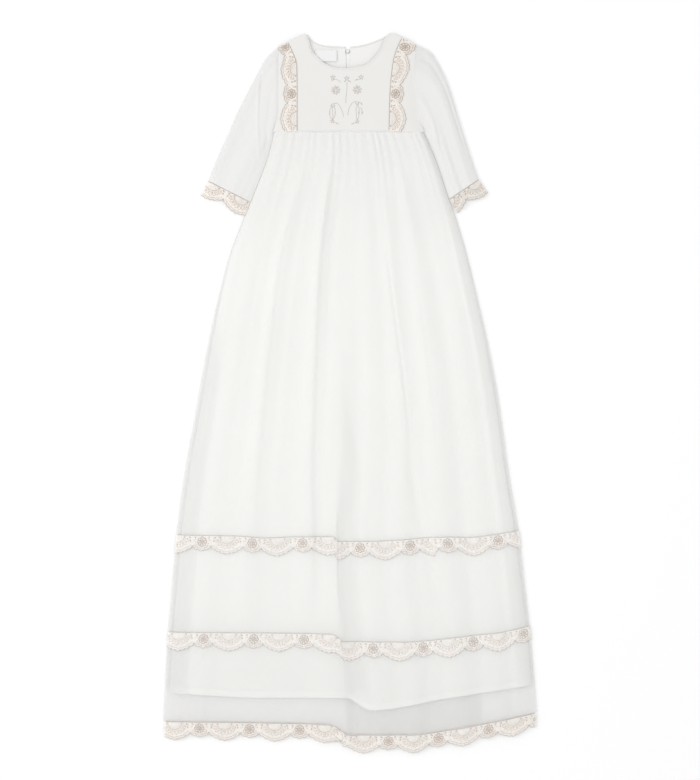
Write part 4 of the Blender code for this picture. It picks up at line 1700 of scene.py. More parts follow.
class Cord(NamedTuple):
    """A worked line of thread in the lace's own plane."""

    points: Array
    radius: float
    tone: Tone


class Petal(NamedTuple):
    """A worked petal, leaf or dot in the lace's own plane."""

    s: float
    t: float
    angle: float
    length: float
    width: float
    height: float
    tone: Tone
    pointed: bool = False


LacePart = Cord | Petal


class SideLeaf(NamedTuple):
    """A leaf that a scallop has on both sides of its middle: its place, turn, length and tone."""

    s: float
    t: float
    angle: float
    length: float
    tone: Tone


WIDE_SIDE_LEAVES = table_of(
    SideLeaf,
    (17.6, 3.4, 0.5, 4.0, Tone.OUTLINE),
    (18.4, 7.4, 1.1, 3.6, Tone.OUTLINE),
)
NARROW_SIDE_LEAVES = table_of(
    SideLeaf,
    (6.6, 15.0, 2.2, 4.4, Tone.FILLING),
    (8.6, 12.0, 1.9, 3.6, Tone.FILLING),
    (9.6, 3.2, -0.6, 3.8, Tone.OUTLINE),
    (10.4, 6.6, 0.5, 3.2, Tone.FILLING),
    (2.8, 16.9, 1.9, 3.4, Tone.FILLING),
)


class FlowerRound(NamedTuple):
    """One round of a flower's petals, in shares of its radius."""

    count: int
    out: float
    length: float
    width: float
    turn: float
    height: float
    tone: Tone


def ring(
    s: float, t: float, radius_s: float, radius_t: float, start: float, end: float, count: int
) -> Array:
    """Points of an arc in the lace, from its middle, its two reaches and its turns in radians."""
    angle = np.linspace(start, end, count)
    return np.stack([s + radius_s * np.cos(angle), t + radius_t * np.sin(angle)], axis=1)


@dataclass
class LaceMotif:
    """One repeat of the lace: a wide scallop with a half moon, and a narrow one with a flower."""

    moon_width: float = 9.8
    moon_depth: float = 9.4
    moon_top: float = 1.7
    moon_bars: int = 4
    flower_size: float = 6.7
    flower_down: float = 8.7
    leaves: int = 9
    dots: int = 28

    def border(self, first: float, last: float) -> list[LacePart]:
        """The worked edge of one scallop: two lobed lines with pale dots between them.

        Args:
            first: Where the scallop starts in the pattern.
            last: Where it ends.

        Returns:
            Its cords and dots.
        """
        place = np.linspace(first, last, int((last - first) / 0.7) + 1)
        depth = scallop_depth(np.clip(place, first + 0.01, last - 0.01))
        outer = np.stack([place, depth - 0.45], axis=1)
        middle = np.array([(first + last) / 2, 3.0])
        inner = middle + (outer - middle) * np.array([0.87, 0.85])
        parts: list[LacePart] = [
            Cord(outer, 0.36, Tone.OUTLINE),
            Cord(inner[::2], 0.21, Tone.OUTLINE),
        ]
        mid_line = middle + (outer - middle) * np.array([0.935, 0.925])
        lengths = run_of(mid_line)
        count = int(lengths[-1] / 2.9)
        for at in (np.arange(count) + 0.5) * lengths[-1] / count:
            s, t = (float(np.interp(at, lengths, mid_line[:, k])) for k in (0, 1))
            parts.append(Petal(s, t, 0.0, 1.5, 1.5, 0.4, Tone.PALE))
        return parts

    def flower(self, s: float, t: float, size: float) -> list[LacePart]:
        """A full flower of three rounds of petals, with worked lines between them.

        Args:
            s: Its middle, along the lace.
            t: Its middle, down the lace.
            size: Its radius.

        Returns:
            Its petals and lines.
        """
        parts: list[LacePart] = []
        rounds = (
            FlowerRound(8, 0.74, 0.56, 0.44, 0.0, 0.50, Tone.FILLING),
            FlowerRound(8, 0.86, 0.26, 0.20, 0.39, 0.50, Tone.OUTLINE),
            FlowerRound(6, 0.42, 0.42, 0.32, 0.4, 0.75, Tone.OUTLINE),
            FlowerRound(4, 0.15, 0.26, 0.22, 0.2, 0.95, Tone.FILLING),
        )
        for row in rounds:
            for k in range(row.count):
                angle = row.turn + 2 * math.pi * k / row.count
                out = row.out * size
                place = (s + out * math.cos(angle), t + out * math.sin(angle))
                parts.append(
                    Petal(*place, angle, row.length * size, row.width * size, row.height, row.tone)
                )
        for reach, waves, radius in ((0.98, 8, 0.24), (0.56, 6, 0.2)):
            angle = np.linspace(0, 2 * math.pi, 41)
            wavy = size * reach * (1 + 0.08 * np.cos(waves * angle))
            line = np.stack([s + wavy * np.cos(angle), t + wavy * np.sin(angle)], axis=1)
            parts.append(Cord(line, radius, Tone.OUTLINE))
        return parts

    def moon(self) -> list[LacePart]:
        """The pale half moon of the wide scallop, crossed by fine bars.

        Returns:
            Its outline, its bars, the line round it and its two end leaves.
        """
        middle, top = WIDE_SCALLOP / 2, self.moon_top
        outline = ring(middle, top, self.moon_width, self.moon_depth, 0.0, math.pi, 25)
        parts: list[LacePart] = [Cord(outline, 0.29, Tone.OUTLINE)]
        for share in np.arange(1, self.moon_bars + 1) / (self.moon_bars + 1):
            half = 0.9 * self.moon_width * math.sqrt(1 - share**2)
            t = top + share * self.moon_depth
            bar = np.array([(middle - half, t), (middle, t + 0.1), (middle + half, t)])
            parts.append(Cord(bar, 0.3, Tone.PALE))
        reach = (1.22 * self.moon_width, 1.2 * self.moon_depth)
        outer = ring(middle, top, *reach, 0.12, math.pi - 0.12, 25)
        parts.append(Cord(outer, 0.24, Tone.FILLING))
        for side in (-1, 1):
            parts.append(Petal(middle + side * 9.9, 2.3, 0.0, 2.6, 1.9, 0.6, Tone.OUTLINE))
        return parts

    def beside(self, middle: float, leaves: Sequence[SideLeaf]) -> list[LacePart]:
        """The leaves on both sides of a scallop.

        Args:
            middle: The scallop's middle in the pattern.
            leaves: The leaves of one side.

        Returns:
            All its side leaves.
        """
        parts: list[LacePart] = []
        for side in (-1, 1):
            for s, t, angle, length, tone in leaves:
                turned = angle if side > 0 else math.pi - angle
                parts.append(Petal(middle + side * s, t, turned, length, 1.9, 0.5, tone, True))
        return parts

    def wide(self) -> list[LacePart]:
        """The wide scallop.

        Returns:
            Its cords, leaves and dots.
        """
        middle = WIDE_SCALLOP / 2
        parts = self.border(0.0, WIDE_SCALLOP) + self.moon()
        turns = math.pi * (0.07 + 0.86 * np.arange(2 * self.leaves - 1) / (2 * self.leaves - 2))
        for angle in turns[::2]:
            place = ring(middle, 3.0, 14.6, 12.4, angle, angle, 1)[0]
            parts.append(Petal(*place, angle + 0.5, 4.6, 2.3, 0.55, Tone.FILLING, True))
            parts.append(Petal(*place, angle - 0.6, 3.8, 1.8, 0.5, Tone.FILLING, True))
        for angle in turns[1::2]:
            place = ring(middle, 3.0, 16.6, 15.2, angle, angle, 1)[0]
            parts.append(Petal(*place, 0.0, 1.2, 1.2, 0.4, Tone.OUTLINE))
        return parts + self.beside(middle, WIDE_SIDE_LEAVES)

    def narrow(self) -> list[LacePart]:
        """The narrow scallop.

        Returns:
            Its cords, leaves and dots.
        """
        middle = (WIDE_SCALLOP + LACE_REPEAT) / 2
        parts = self.border(WIDE_SCALLOP, LACE_REPEAT)
        parts += self.flower(middle, self.flower_down, self.flower_size)
        return parts + self.beside(middle, NARROW_SIDE_LEAVES)

    def heading(self) -> list[LacePart]:
        """The straight edge of one repeat, with its cord and its row of dots.

        Returns:
            Its cord and dots.
        """
        place = np.linspace(0, LACE_REPEAT, 41)
        parts: list[LacePart] = [
            Cord(np.stack([place, 0 * place + 0.25], axis=1), 0.37, Tone.HEADING)
        ]
        for k in range(self.dots):
            s = LACE_REPEAT / self.dots * (k + 0.5)
            parts.append(Petal(s, 1.35, 0.0, 1.2, 0.9, 0.35, Tone.PALE))
        return parts

    def parts(self) -> list[LacePart]:
        """The cords, petals, leaves and dots of one repeat."""
        return self.heading() + self.wide() + self.narrow()


# A cord's section: how far each of its corners is across and up, in radii
CORD_PROFILE = ((1.0, 0.0), (0.55, 0.8), (-0.55, 0.8), (-1.0, 0.0), (0.0, -0.25))
CORD_SIDE = 1.2
CORD_END = 0.55


@dataclass
class ThreadWork:
    """Collects worked threads and writes them as one piece."""

    points: list[Array] = field(default_factory=list)
    uv: list[Array] = field(default_factory=list)
    faces: list[list[int]] = field(default_factory=list)
    tones: list[int] = field(default_factory=list)
    count: int = 0

    def take(
        self, points: Array, uv: Array, faces: Sequence[Sequence[int]], tone: Tone
    ) -> None:
        """Adds a closed shape.

        Args:
            points: Its points.
            uv: Their places on the thread.
            faces: Its faces, as indices of its own points.
            tone: Its thread.
        """
        self.points.append(points)
        self.uv.append(uv)
        self.faces.extend([[k + self.count for k in face] for face in faces])
        self.tones.extend([TONE_ORDER.index(tone)] * len(faces))
        self.count += len(points)

    def cord(self, line: Array, radius: float, tone: Tone) -> None:
        """Adds a thread along a line, a little flattened where it lies.

        Args:
            line: Its points.
            radius: Its radius.
            tone: Its thread.
        """
        if len(line) < 2:
            return
        up = np.array([0.0, 0.0, 1.0])
        across = unit(np.cross(unit(np.gradient(line, axis=0)), up))
        taper = np.ones(len(line))
        taper[[0, -1]] = CORD_END
        rings = [line + radius * taper[:, None] * (a * across + b * up) for a, b in CORD_PROFILE]
        count, sides = len(line), len(CORD_PROFILE)
        girth = np.tile(np.arange(sides) * radius * CORD_SIDE, count)
        uv = np.stack([np.repeat(run_of(line), sides), girth], axis=1)
        self.take(np.stack(rings, axis=1).reshape(-1, 3), uv, tube_faces(count, sides), tone)

    def patch(self, rim: Array, mid: Array, top: Array, low: Array, tone: Tone) -> None:
        """Adds a domed petal.

        Args:
            rim: Its outline.
            mid: A smaller outline, part of the way up.
            top: Its highest point.
            low: The middle of its underside.
            tone: Its thread.
        """
        n = len(rim)
        points = np.vstack([rim, mid, top, low])
        edges = [(k, (k + 1) % n) for k in range(n)]
        sides = [(a, b, n + b, n + a) for a, b in edges]
        cap = [(n + a, n + b, 2 * n) for a, b in edges]
        foot = [(b, a, 2 * n + 1) for a, b in edges]
        self.take(points, points[:, :2] - top[:2], sides + cap + foot, tone)

    def write(self, name: str, finishes: Sequence[ThreadFinish]) -> Piece:
        """Makes the piece.

        Args:
            name: Its name.
            finishes: Its threads, in the order of TONE_ORDER.

        Returns:
            The piece.
        """
        points, uv = np.vstack(self.points), np.vstack(self.uv)
        piece = ROOM.piece(name, points, self.faces, uv, finishes, self.tones)
        shape = bmesh.new()
        shape.from_mesh(piece.data)
        bmesh.ops.recalc_face_normals(shape, faces=shape.faces)
        shape.to_mesh(piece.data)
        shape.free()
        return piece


class Span(NamedTuple):
    """A stretch of lace on which the pattern runs on without a break."""

    start: float
    end: float
    phase: float


def broken_spans(
    run: Array, across: Array, start: float, lags: tuple[float, float]
) -> list[Span]:
    """Stretches of a lace across the skirt, broken where folds take some of it up.

    Args:
        run: Distances along the lace.
        across: Shares of the skirt's width at them.
        start: Where in the pattern the lace starts.
        lags: How much is taken up by the middle pleat, and in all by the crease to its right.

    Returns:
        The stretches.
    """
    pleat, crease = (float(np.interp(at, across, run)) for at in (PLEAT_ACROSS, CREASE_ACROSS))
    total = float(run[-1])
    if lags[0] == lags[1]:
        return [Span(0.0, pleat, start), Span(pleat, total, start - lags[0])]
    middle = Span(pleat, crease, start - lags[0])
    return [Span(0.0, pleat, start), middle, Span(crease, total, start - lags[1])]


class LaceStrip:
    """A strip of lace sewn to the gown."""

    name: str
    spans: list[Span]
    lift: float = 0.0
    steps: float = 1.1
    cloth_rows: int = 8
    scalloped: float = 0.78
    few_points: int = 6
    many_points: int = 10

    def place(self, s: Array, t: Array, h: Array) -> Array:
        """Points on the strip as it lies.

        Args:
            s: Distances along it.
            t: Distances from its straight edge.
            h: Heights over its net.

        Returns:
            An array of x, y and z.
        """
        raise NotImplementedError

    def build(self, flat: tuple[float, float], rests_on: Sequence[str]) -> None:
        """Args:
            flat: Width and length of the strip before it is sewn on, in metres; not used.
            rests_on: What it lies on; not used.
        """
        total = self.spans[-1].end
        s = np.linspace(0, total, int(total / self.steps) + 1)
        phase = np.zeros_like(s)
        for span in self.spans:
            phase = np.where((s >= span.start) & (s <= span.end), span.phase, phase)
        depth = scallop_depth(s + phase)
        share = np.linspace(0, 1, self.cloth_rows + 1)[:, None]
        s_grid, t_grid = np.broadcast_arrays(s[None, :], share * depth[None, :])
        points = self.place(s_grid, t_grid, 0 * s_grid)
        uv = np.stack([s_grid, t_grid], axis=-1)
        area_up = np.cross(points[1, 0] - points[0, 0], points[0, 1] - points[0, 0])[2]
        if area_up < 0:
            points, uv = points[:, ::-1], uv[:, ::-1]
        net_finish, thread_finishes = lace_finishes(self.name, self.lift)
        net = ROOM.grid(f"{self.name}_net", points, uv, net_finish)
        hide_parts(self.name)
        threads = self.work().write(f"{self.name}_threads", thread_finishes)

    def work(self) -> ThreadWork:
        """The worked threads of every repeat that lies on the strip.

        Returns:
            The collected threads.
        """
        work = ThreadWork()
        motif = LaceMotif().parts()
        for span in self.spans:
            low, high = span.start + span.phase, span.end + span.phase
            for repeat in range(math.floor(low / LACE_REPEAT), math.ceil(high / LACE_REPEAT)):
                shift = repeat * LACE_REPEAT - span.phase
                for part in motif:
                    self.add(work, part, shift, span)
        return work

    def add(self, work: ThreadWork, part: LacePart, shift: float, span: Span) -> None:
        """Adds one part of the motif where it lies on the strip.

        Args:
            work: Where it is collected.
            part: The part.
            shift: How far along the strip its repeat starts.
            span: The stretch that it has to stay on.
        """
        if isinstance(part, Cord):
            s, t = part.points[:, 0] + shift, part.points[:, 1]
            inside = (s >= span.start - 0.01) & (s <= span.end + 0.01)
            if inside.sum() < 2:
                return
            first, last = int(np.argmax(inside)), len(s) - int(np.argmax(inside[::-1]))
            line = self.place(s[first:last], t[first:last], np.full(last - first, 0.12))
            work.cord(line, part.radius, part.tone)
            return
        s = part.s + shift
        if not span.start + 0.6 < s < span.end - 0.6:
            return
        count = self.few_points if part.length < 2.2 else self.many_points
        angle = np.linspace(0, 2 * math.pi, count, endpoint=False)
        taper = np.abs(np.sin(angle)) ** 0.7 if part.pointed else 1.0
        long = 0.5 * part.length * np.cos(angle)
        wide = 0.5 * part.width * np.sin(angle) * taper
        ds = long * math.cos(part.angle) - wide * math.sin(part.angle)
        dt = long * math.sin(part.angle) + wide * math.cos(part.angle)
        base = 0.05
        rim = self.place(s + ds, part.t + dt, np.full(count, base))
        mid = self.place(s + 0.6 * ds, part.t + 0.6 * dt, np.full(count, base + 0.75 * part.height))
        ends = self.place(np.full(2, s), np.full(2, part.t), np.array([part.height + base, 0.0]))
        work.patch(rim, mid, ends[0], ends[1], part.tone)


@dataclass
class TierLace(LaceStrip):
    """Lace that lies across the skirt's front."""

    name: str
    form: SkirtForm
    down_mm: float
    start: float
    lags: tuple[float, float]
    wander: Sequence[Step]
    # Painted light: the tiers' lace is made lighter than the same lace elsewhere.
    lift: float = 0.28

    def __post_init__(self) -> None:
        """Works out where the strip lies and where the middle pleat breaks its pattern."""
        self.down = self.down_mm / SKIRT_LENGTH
        self.across = np.linspace(0, 1, 1201)
        x, _ = self.form.plan(self.across, self.down)
        self.run = x - x[0]
        self.spans = broken_spans(self.run, self.across, self.start, self.lags)

    def place(self, s: Array, t: Array, h: Array) -> Array:
        """Points on the strip as it lies.

        Args:
            s: Distances along it.
            t: Distances from its straight edge.
            h: Heights over its net.

        Returns:
            An array of x, y and z.
        """
        across = np.interp(s, self.run, self.across)
        down = self.down + (t + read_steps(self.wander, across)) / SKIRT_LENGTH
        x, y = self.form.plan(across, down)
        z = self.form.front_height(across, down) + LACE_LIFT + h
        return np.stack([x, y, z], axis=-1)


@dataclass
class HemLace(LaceStrip):
    """Lace that hangs from the hem, on the front or on the back."""

    name: str
    form: SkirtForm
    drops: Sequence[Drop]
    front: bool
    start: float = 7.3
    # Painted light: the hem's lace is made lighter than the same lace elsewhere.
    lift: float = 0.16
    side_gap: float = 0.004
    seam_gap: float = 0.1
    hanging_z: float = 1.9

    def __post_init__(self) -> None:
        """Works out where the strip lies and where the middle pleat breaks its pattern."""
        self.across = np.linspace(self.side_gap, 1 - self.side_gap, 1201)
        x, _ = self.form.plan(self.across, 1.0, self.drops)
        self.run = x - x[0]
        self.spans = broken_spans(self.run, self.across, self.start, HEM_LACE_LAGS)

    def place(self, s: Array, t: Array, h: Array) -> Array:
        """Points on the strip as it lies.

        Args:
            s: Distances along it.
            t: Distances from its straight edge.
            h: Heights over its net.

        Returns:
            An array of x, y and z.
        """
        across = np.interp(s, self.run, self.across)
        x, y = self.form.plan(across, 1.0, self.drops)
        if self.front:
            start = self.form.front_height(across, np.ones_like(across)) + 0.1
            sink = np.clip(t / LACE_WIDE, 0, 1.1)
            z = start + (self.hanging_z - start) * 0.6 * sink + 0.25 * np.sin(s * 0.35) * sink
        else:
            z = BACK_Z + 0 * x
        return np.stack([x, y - self.seam_gap - t, z + h], axis=-1)


@dataclass
class YokeLace(LaceStrip):
    """Lace down one side of the bodice's front."""

    name: str
    form: BodiceForm
    seam: Sequence[Point]
    side: int
    at_shoulder: float
    start: float = 4.0
    size: float = 0.92
    seam_gap: float = 0.2

    def __post_init__(self) -> None:
        """Works out the length of the seam."""
        line = along(self.seam, np.linspace(0, 1, 401))
        self.length = float(run_of(line)[-1])
        self.spans = [Span(0.0, self.length, self.start)]

    def place(self, s: Array, t: Array, h: Array) -> Array:
        """Points on the strip as it lies.

        Args:
            s: Distances along it, from the waist up.
            t: Distances from its straight edge.
            h: Heights over its net.

        Returns:
            An array of x, y and z.
        """
        share = s / self.length
        near = ramp(share, 0.6, 0.4)
        depth = t * self.size * (1 + (self.at_shoulder - 1) * near)
        away = np.stack([self.side * (depth + self.seam_gap), -0.5 * depth * near**2], axis=-1)
        return self.form.over(along(self.seam, share) + away, LACE_LIFT + h)


@dataclass
class CuffLace(LaceStrip):
    """Lace round the end of a sleeve."""

    name: str
    form: SleeveForm
    lift: float
    size: float = 0.9
    flare: float = 2.0
    start: float = 14.0
    seam_gap: float = 0.2
    under_gap: float = 0.15
    over_gap: float = 0.35

    def __post_init__(self) -> None:
        """Works out the seam with the sleeve."""
        outer, inner, _ = self.form.ends(1.0)
        self.outer = outer
        self.width = float(np.linalg.norm(inner - outer))
        self.way = (inner - outer) / self.width
        self.out = np.array([self.form.side * abs(self.way[1]), -abs(self.way[0])])
        wide = WIDE_SCALLOP - self.start
        self.spans = [Span(0.0, wide, self.start), Span(wide, self.width, self.start - WIDE_SCALLOP)]

    def place(self, s: Array, t: Array, h: Array) -> Array:
        """Points on the strip as it lies; past the width it is under the sleeve.

        Args:
            s: Distances round it, from its outer edge.
            t: Distances from its straight edge.
            h: Heights over its net.

        Returns:
            An array of x, y and z.
        """
        under = s > self.width
        run = np.where(under, 2 * self.width - s, s)
        share = np.clip(run / self.width, 0, 1)
        depth = t * self.size
        spread = (2 * share - 1) * self.flare * np.clip(depth / LACE_WIDE, 0, 1.2)
        xy = self.outer + (run + spread)[..., None] * self.way
        xy = xy + (depth + self.seam_gap)[..., None] * self.out
        arch = self.form.top_height(np.ones_like(share), share)
        top = arch + 0.1 - 0.9 * np.clip(depth / LACE_WIDE, 0, 1) + h
        z = np.where(under, 0.6 + 0.4 * np.abs(2 * share - 1) - 0.3 * h, top)
        skirt = SKIRT_FORM.height_at(xy[..., 0], xy[..., 1])
        clear = skirt + np.where(under, self.under_gap, self.over_gap + h)
        z = np.where(skirt > 0, np.maximum(z, clear), z)
        return np.concatenate([xy, z[..., None]], axis=-1)


class Leaf(NamedTuple):
    """A satin-stitched leaf: its foot, where it points in degrees, its length and its width."""

    x: float
    y: float
    angle: float
    length: float
    width: float


STEMS = (
    (Point(1.7, 29.0), Point(1.6, 20.0), Point(0.6, 10.0), Point(0.0, -0.5)),
    (Point(-17.5, 32.4), Point(-14.0, 32.6), Point(-10.5, 31.6), Point(-7.0, 28.6)),
    (Point(21.0, 33.4), Point(16.5, 33.0), Point(12.2, 31.2)),
    (
        Point(-2.7, -20.5),
        Point(-4.6, -13.0),
        Point(-8.0, -5.6),
        Point(-13.3, -0.6),
        Point(-20.4, -2.4),
    ),
    (Point(2.7, -17.8), Point(4.2, -9.6), Point(7.4, -2.6), Point(13.0, 1.6), Point(21.6, 0.2)),
    (Point(-18.4, -4.8), Point(-22.4, -11.0), Point(-22.0, -18.0), Point(-18.9, -24.4)),
    (Point(-18.2, -4.8), Point(-18.6, -11.0), Point(-18.0, -18.0), Point(-18.6, -24.4)),
    (Point(-17.6, -4.8), Point(-14.6, -10.6), Point(-14.9, -17.0), Point(-18.2, -24.4)),
    (Point(16.4, -3.2), Point(14.4, -9.6), Point(14.8, -17.0), Point(15.8, -25.0)),
    (Point(17.2, -3.2), Point(18.9, -10.4), Point(18.4, -18.0), Point(16.4, -25.0)),
    (Point(20.6, -6.4), Point(22.8, -11.0), Point(22.4, -17.0)),
    (Point(-17.0, -26.8), Point(-13.6, -28.4), Point(-10.6, -30.2)),
    (Point(14.6, -27.4), Point(11.4, -28.8), Point(8.2, -30.2)),
)
LEAVES = table_of(
    Leaf,
    (2.6, 31.6, -32, 5.4, 1.7),
    (0.6, 31.2, 214, 3.8, 1.4),
    (-17.0, 32.2, 205, 3.4, 1.3),
    (17.5, 32.8, 205, 3.6, 1.3),
    (-19.2, -2.4, 242, 4.4, 1.7),
    (-16.4, -2.0, 286, 3.8, 1.6),
    (13.4, 0.6, 300, 4.4, 1.6),
    (18.4, 0.8, 250, 4.4, 1.8),
    (21.0, 0.0, 305, 4.0, 1.5),
    (-22.2, -12.0, 262, 4.2, 1.3),
    (-14.7, -12.4, 270, 4.0, 1.3),
    (18.8, -11.4, 250, 4.4, 1.4),
    (22.8, -11.4, 285, 4.0, 1.4),
    (-13.4, -28.2, 330, 3.8, 1.4),
    (11.2, -28.6, 205, 3.8, 1.4),
)


@dataclass
class Embroidery:
    """Small flowers and sprigs on the middle of the bodice."""

    form: BodiceForm
    x: float = -6.0
    y: float = 406.0
    thread: float = 0.27

    def lift(self, points: Array, height: float) -> Array:
        """Puts points of the design's own plane at a height over the bodice's cloth."""
        return self.form.over(points + np.array([self.x, self.y]), height)

    def stem(self, work: ThreadWork, points: Sequence[Point]) -> None:
        """Adds a stem along a smooth line through points."""
        fine = along(points, np.linspace(0, 1, 6 * len(points)))
        work.cord(self.lift(fine, 0.15), self.thread, Tone.OUTLINE)

    def leaf(self, work: ThreadWork, leaf: Leaf, tone: Tone = Tone.OUTLINE) -> None:
        """Adds a satin-stitched leaf or petal.

        Args:
            work: Where it is collected.
            leaf: Its place and its size.
            tone: Its thread.
        """
        turn = math.radians(leaf.angle)
        around = np.linspace(0, 2 * math.pi, 12, endpoint=False)
        local_x = 0.5 * leaf.length * (1 + np.cos(around))
        local_y = 0.5 * leaf.width * np.sin(around) * np.abs(np.sin(around)) ** 0.5
        rim_x = leaf.x + local_x * math.cos(turn) - local_y * math.sin(turn)
        rim_y = leaf.y + local_x * math.sin(turn) + local_y * math.cos(turn)
        rim = np.stack([rim_x, rim_y], axis=-1)
        middle = rim.mean(axis=0)
        mid = middle + 0.6 * (rim - middle)
        ends = self.lift(np.stack([middle, middle]), 0.0)
        ends[:, 2] += (0.5, 0.0)
        work.patch(self.lift(rim, 0.03), self.lift(mid, 0.4), ends[0], ends[1], tone)

    def petals(self, work: ThreadWork, middle: Point, row: FlowerRound, size: float) -> None:
        """Adds one round of petals.

        Args:
            work: Where it is collected.
            middle: The flower's middle.
            row: The round, in shares of the flower's radius, turned in degrees.
            size: The flower's radius.
        """
        for k in range(row.count):
            angle = row.turn + 360 * k / row.count
            away = math.radians(angle)
            x = middle.x + row.out * size * math.cos(away)
            y = middle.y + row.out * size * math.sin(away)
            self.leaf(work, Leaf(x, y, angle, row.length * size, row.width * size), row.tone)

    def build(self) -> Piece:
        """Makes the embroidery.

        Returns:
            The piece.
        """
        work = ThreadWork()
        star = FlowerRound(5, 0.2, 0.8, 0.42, 90.0, 0.5, Tone.OUTLINE)
        for middle, size in (
            (Point(-17.9, 35.6), 3.9),
            (Point(1.4, 33.9), 4.0),
            (Point(21.5, 35.6), 3.9),
            (Point(-18.7, -26.0), 3.2),
            (Point(16.1, -26.6), 3.2),
        ):
            self.petals(work, middle, star, size)
        rounds = (
            FlowerRound(8, 0.45, 0.55, 0.44, 100.0, 0.5, Tone.FILLING),
            FlowerRound(5, 0.14, 0.50, 0.30, 78.0, 0.5, Tone.OUTLINE),
        )
        for middle in (Point(-14.0, 17.6), Point(16.0, 18.2)):
            for row in rounds:
                self.petals(work, middle, row, 6.6)
        for stem in STEMS:
            self.stem(work, stem)
        for leaf in LEAVES:
            self.leaf(work, leaf)
        return work.write("bodice_embroidery", (EMBROIDERY_DARK, EMBROIDERY_LIGHT))


@dataclass
class NeckEdge:
    """The bound edges of the neck, a narrow folded strip round each."""

    form: BodiceForm
    bodice: Bodice
    width: float = 2.4
    height: float = 1.5
    overlap: float = 0.6
    back_z: float = 0.05
    sides: int = 12

    def tube(self, name: str, node: str, line: Array, front: bool) -> Piece:
        """Makes a rounded strip beside a line.

        Args:
            name: The piece's name.
            node: The solid that it stands for.
            line: Points of the neckline, in plan.
            front: Whether it is on the bodice's front.

        Returns:
            The piece.
        """
        outward = left_of(line)[:, None]
        if front:
            level = self.form.front_height(line[:, 0], line[:, 1]) - self.height
        else:
            level = np.full(len(line), self.back_z)
        turn = np.linspace(0, 2 * math.pi, self.sides, endpoint=False)
        away = 0.5 * self.width * (1 + np.cos(turn)) - self.overlap
        points = np.empty((len(line), self.sides, 3))
        points[..., :2] = line[:, None] + away[None, :, None] * outward
        points[..., 2] = level[:, None] + 0.5 * self.height * (1 + np.sin(turn))[None, :]
        faces = tube_faces(len(line), self.sides)
        girth = 0.5 * self.width * turn[None, :]
        uv = np.stack(np.broadcast_arrays(run_of(line)[:, None], girth), axis=-1)
        piece = ROOM.piece(name, points.reshape(-1, 3), faces, uv.reshape(-1, 2), [BINDING])
        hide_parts(node)
        return piece

    def build(self) -> list[Piece]:
        """Makes the three strips.

        Returns:
            The pieces.
        """
        neck = along(FRONT_NECK, np.linspace(0.02, 0.98, 121))
        left = self.bodice.back_neck_half(-1, 44)[2:]
        right = self.bodice.back_neck_half(1, 44)[:1:-1]
        return [
            self.tube("neck_binding_front_strip", "neck_binding_front", neck, True),
            self.tube("neck_binding_left_strip", "neck_binding_back_left", left, False),
            self.tube("neck_binding_right_strip", "neck_binding_back_right", right, False),
        ]


@dataclass
class Closure:
    """The small button at the back of the neck, and the bare label."""

    bodice: Bodice
    label_x: float = -49.0
    label_y: float = 464.5
    label_width: float = 31.0
    label_height: float = 16.0
    label_z: float = 2.05
    label_rise: float = 0.5

    def button(self) -> Piece:
        """Models a small domed button.

        Returns:
            The piece.
        """
        low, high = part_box("button")
        middle = (Vector(low) + Vector(high)) / 2
        radius = (high[0] - low[0]) / 2
        height = high[2] - low[2]
        bpy.ops.object.select_all(action="DESELECT")
        bpy.ops.mesh.primitive_cylinder_add(vertices=40, radius=radius, depth=height, location=middle)
        piece = bpy.context.object
        piece.name = "button_pearl"
        bpy.ops.object.mode_set(mode="EDIT")
        bpy.ops.mesh.select_all(action="DESELECT")
        bpy.ops.mesh.select_mode(type="FACE")
        shape = bmesh.from_edit_mesh(piece.data)
        for face in shape.faces:
            face.select = face.normal.z > 0.9
        bmesh.update_edit_mesh(piece.data)
        for inset, lift in ((0.28, -0.14), (0.10, -0.04), (0.34, 0.12)):
            bpy.ops.mesh.inset(thickness=inset * radius)
            bpy.ops.transform.translate(value=(0.0, 0.0, lift * height))
        bpy.ops.object.mode_set(mode="OBJECT")
        bevel = piece.modifiers.new("rounded", "BEVEL")
        bevel.width = 0.14 * height
        bevel.segments = 3
        bevel.limit_method = "ANGLE"
        bpy.ops.object.modifier_apply(modifier=bevel.name)
        bpy.ops.object.transform_apply(location=True, rotation=True, scale=True)
        bpy.ops.object.shade_smooth()
        finish = PearlFinish()
        piece.data.materials.append(ROOM.material(finish))
        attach(piece, "root")
        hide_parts("button")
        return piece

    def label(self) -> Piece:
        """Makes the bare label, with its ends folded under.

        Returns:
            The piece.
        """
        x = self.label_x + np.linspace(0, self.label_width, 41)[None, :]
        y = self.label_y + np.linspace(self.label_height, 0, 21)[:, None]
        share = (x - self.label_x) / self.label_width
        ends = np.clip(np.minimum(share, 1 - share) / 0.05, 0, 1)
        z = self.label_z + self.label_rise * np.sqrt(ends) + 0.08 * np.sin(7 * share) + 0 * y
        points = np.stack(np.broadcast_arrays(x, y, z), axis=-1)
        piece = ROOM.grid("neck_label_cloth", points, points[..., :2], LABEL)
        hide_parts("neck_label")
        return piece


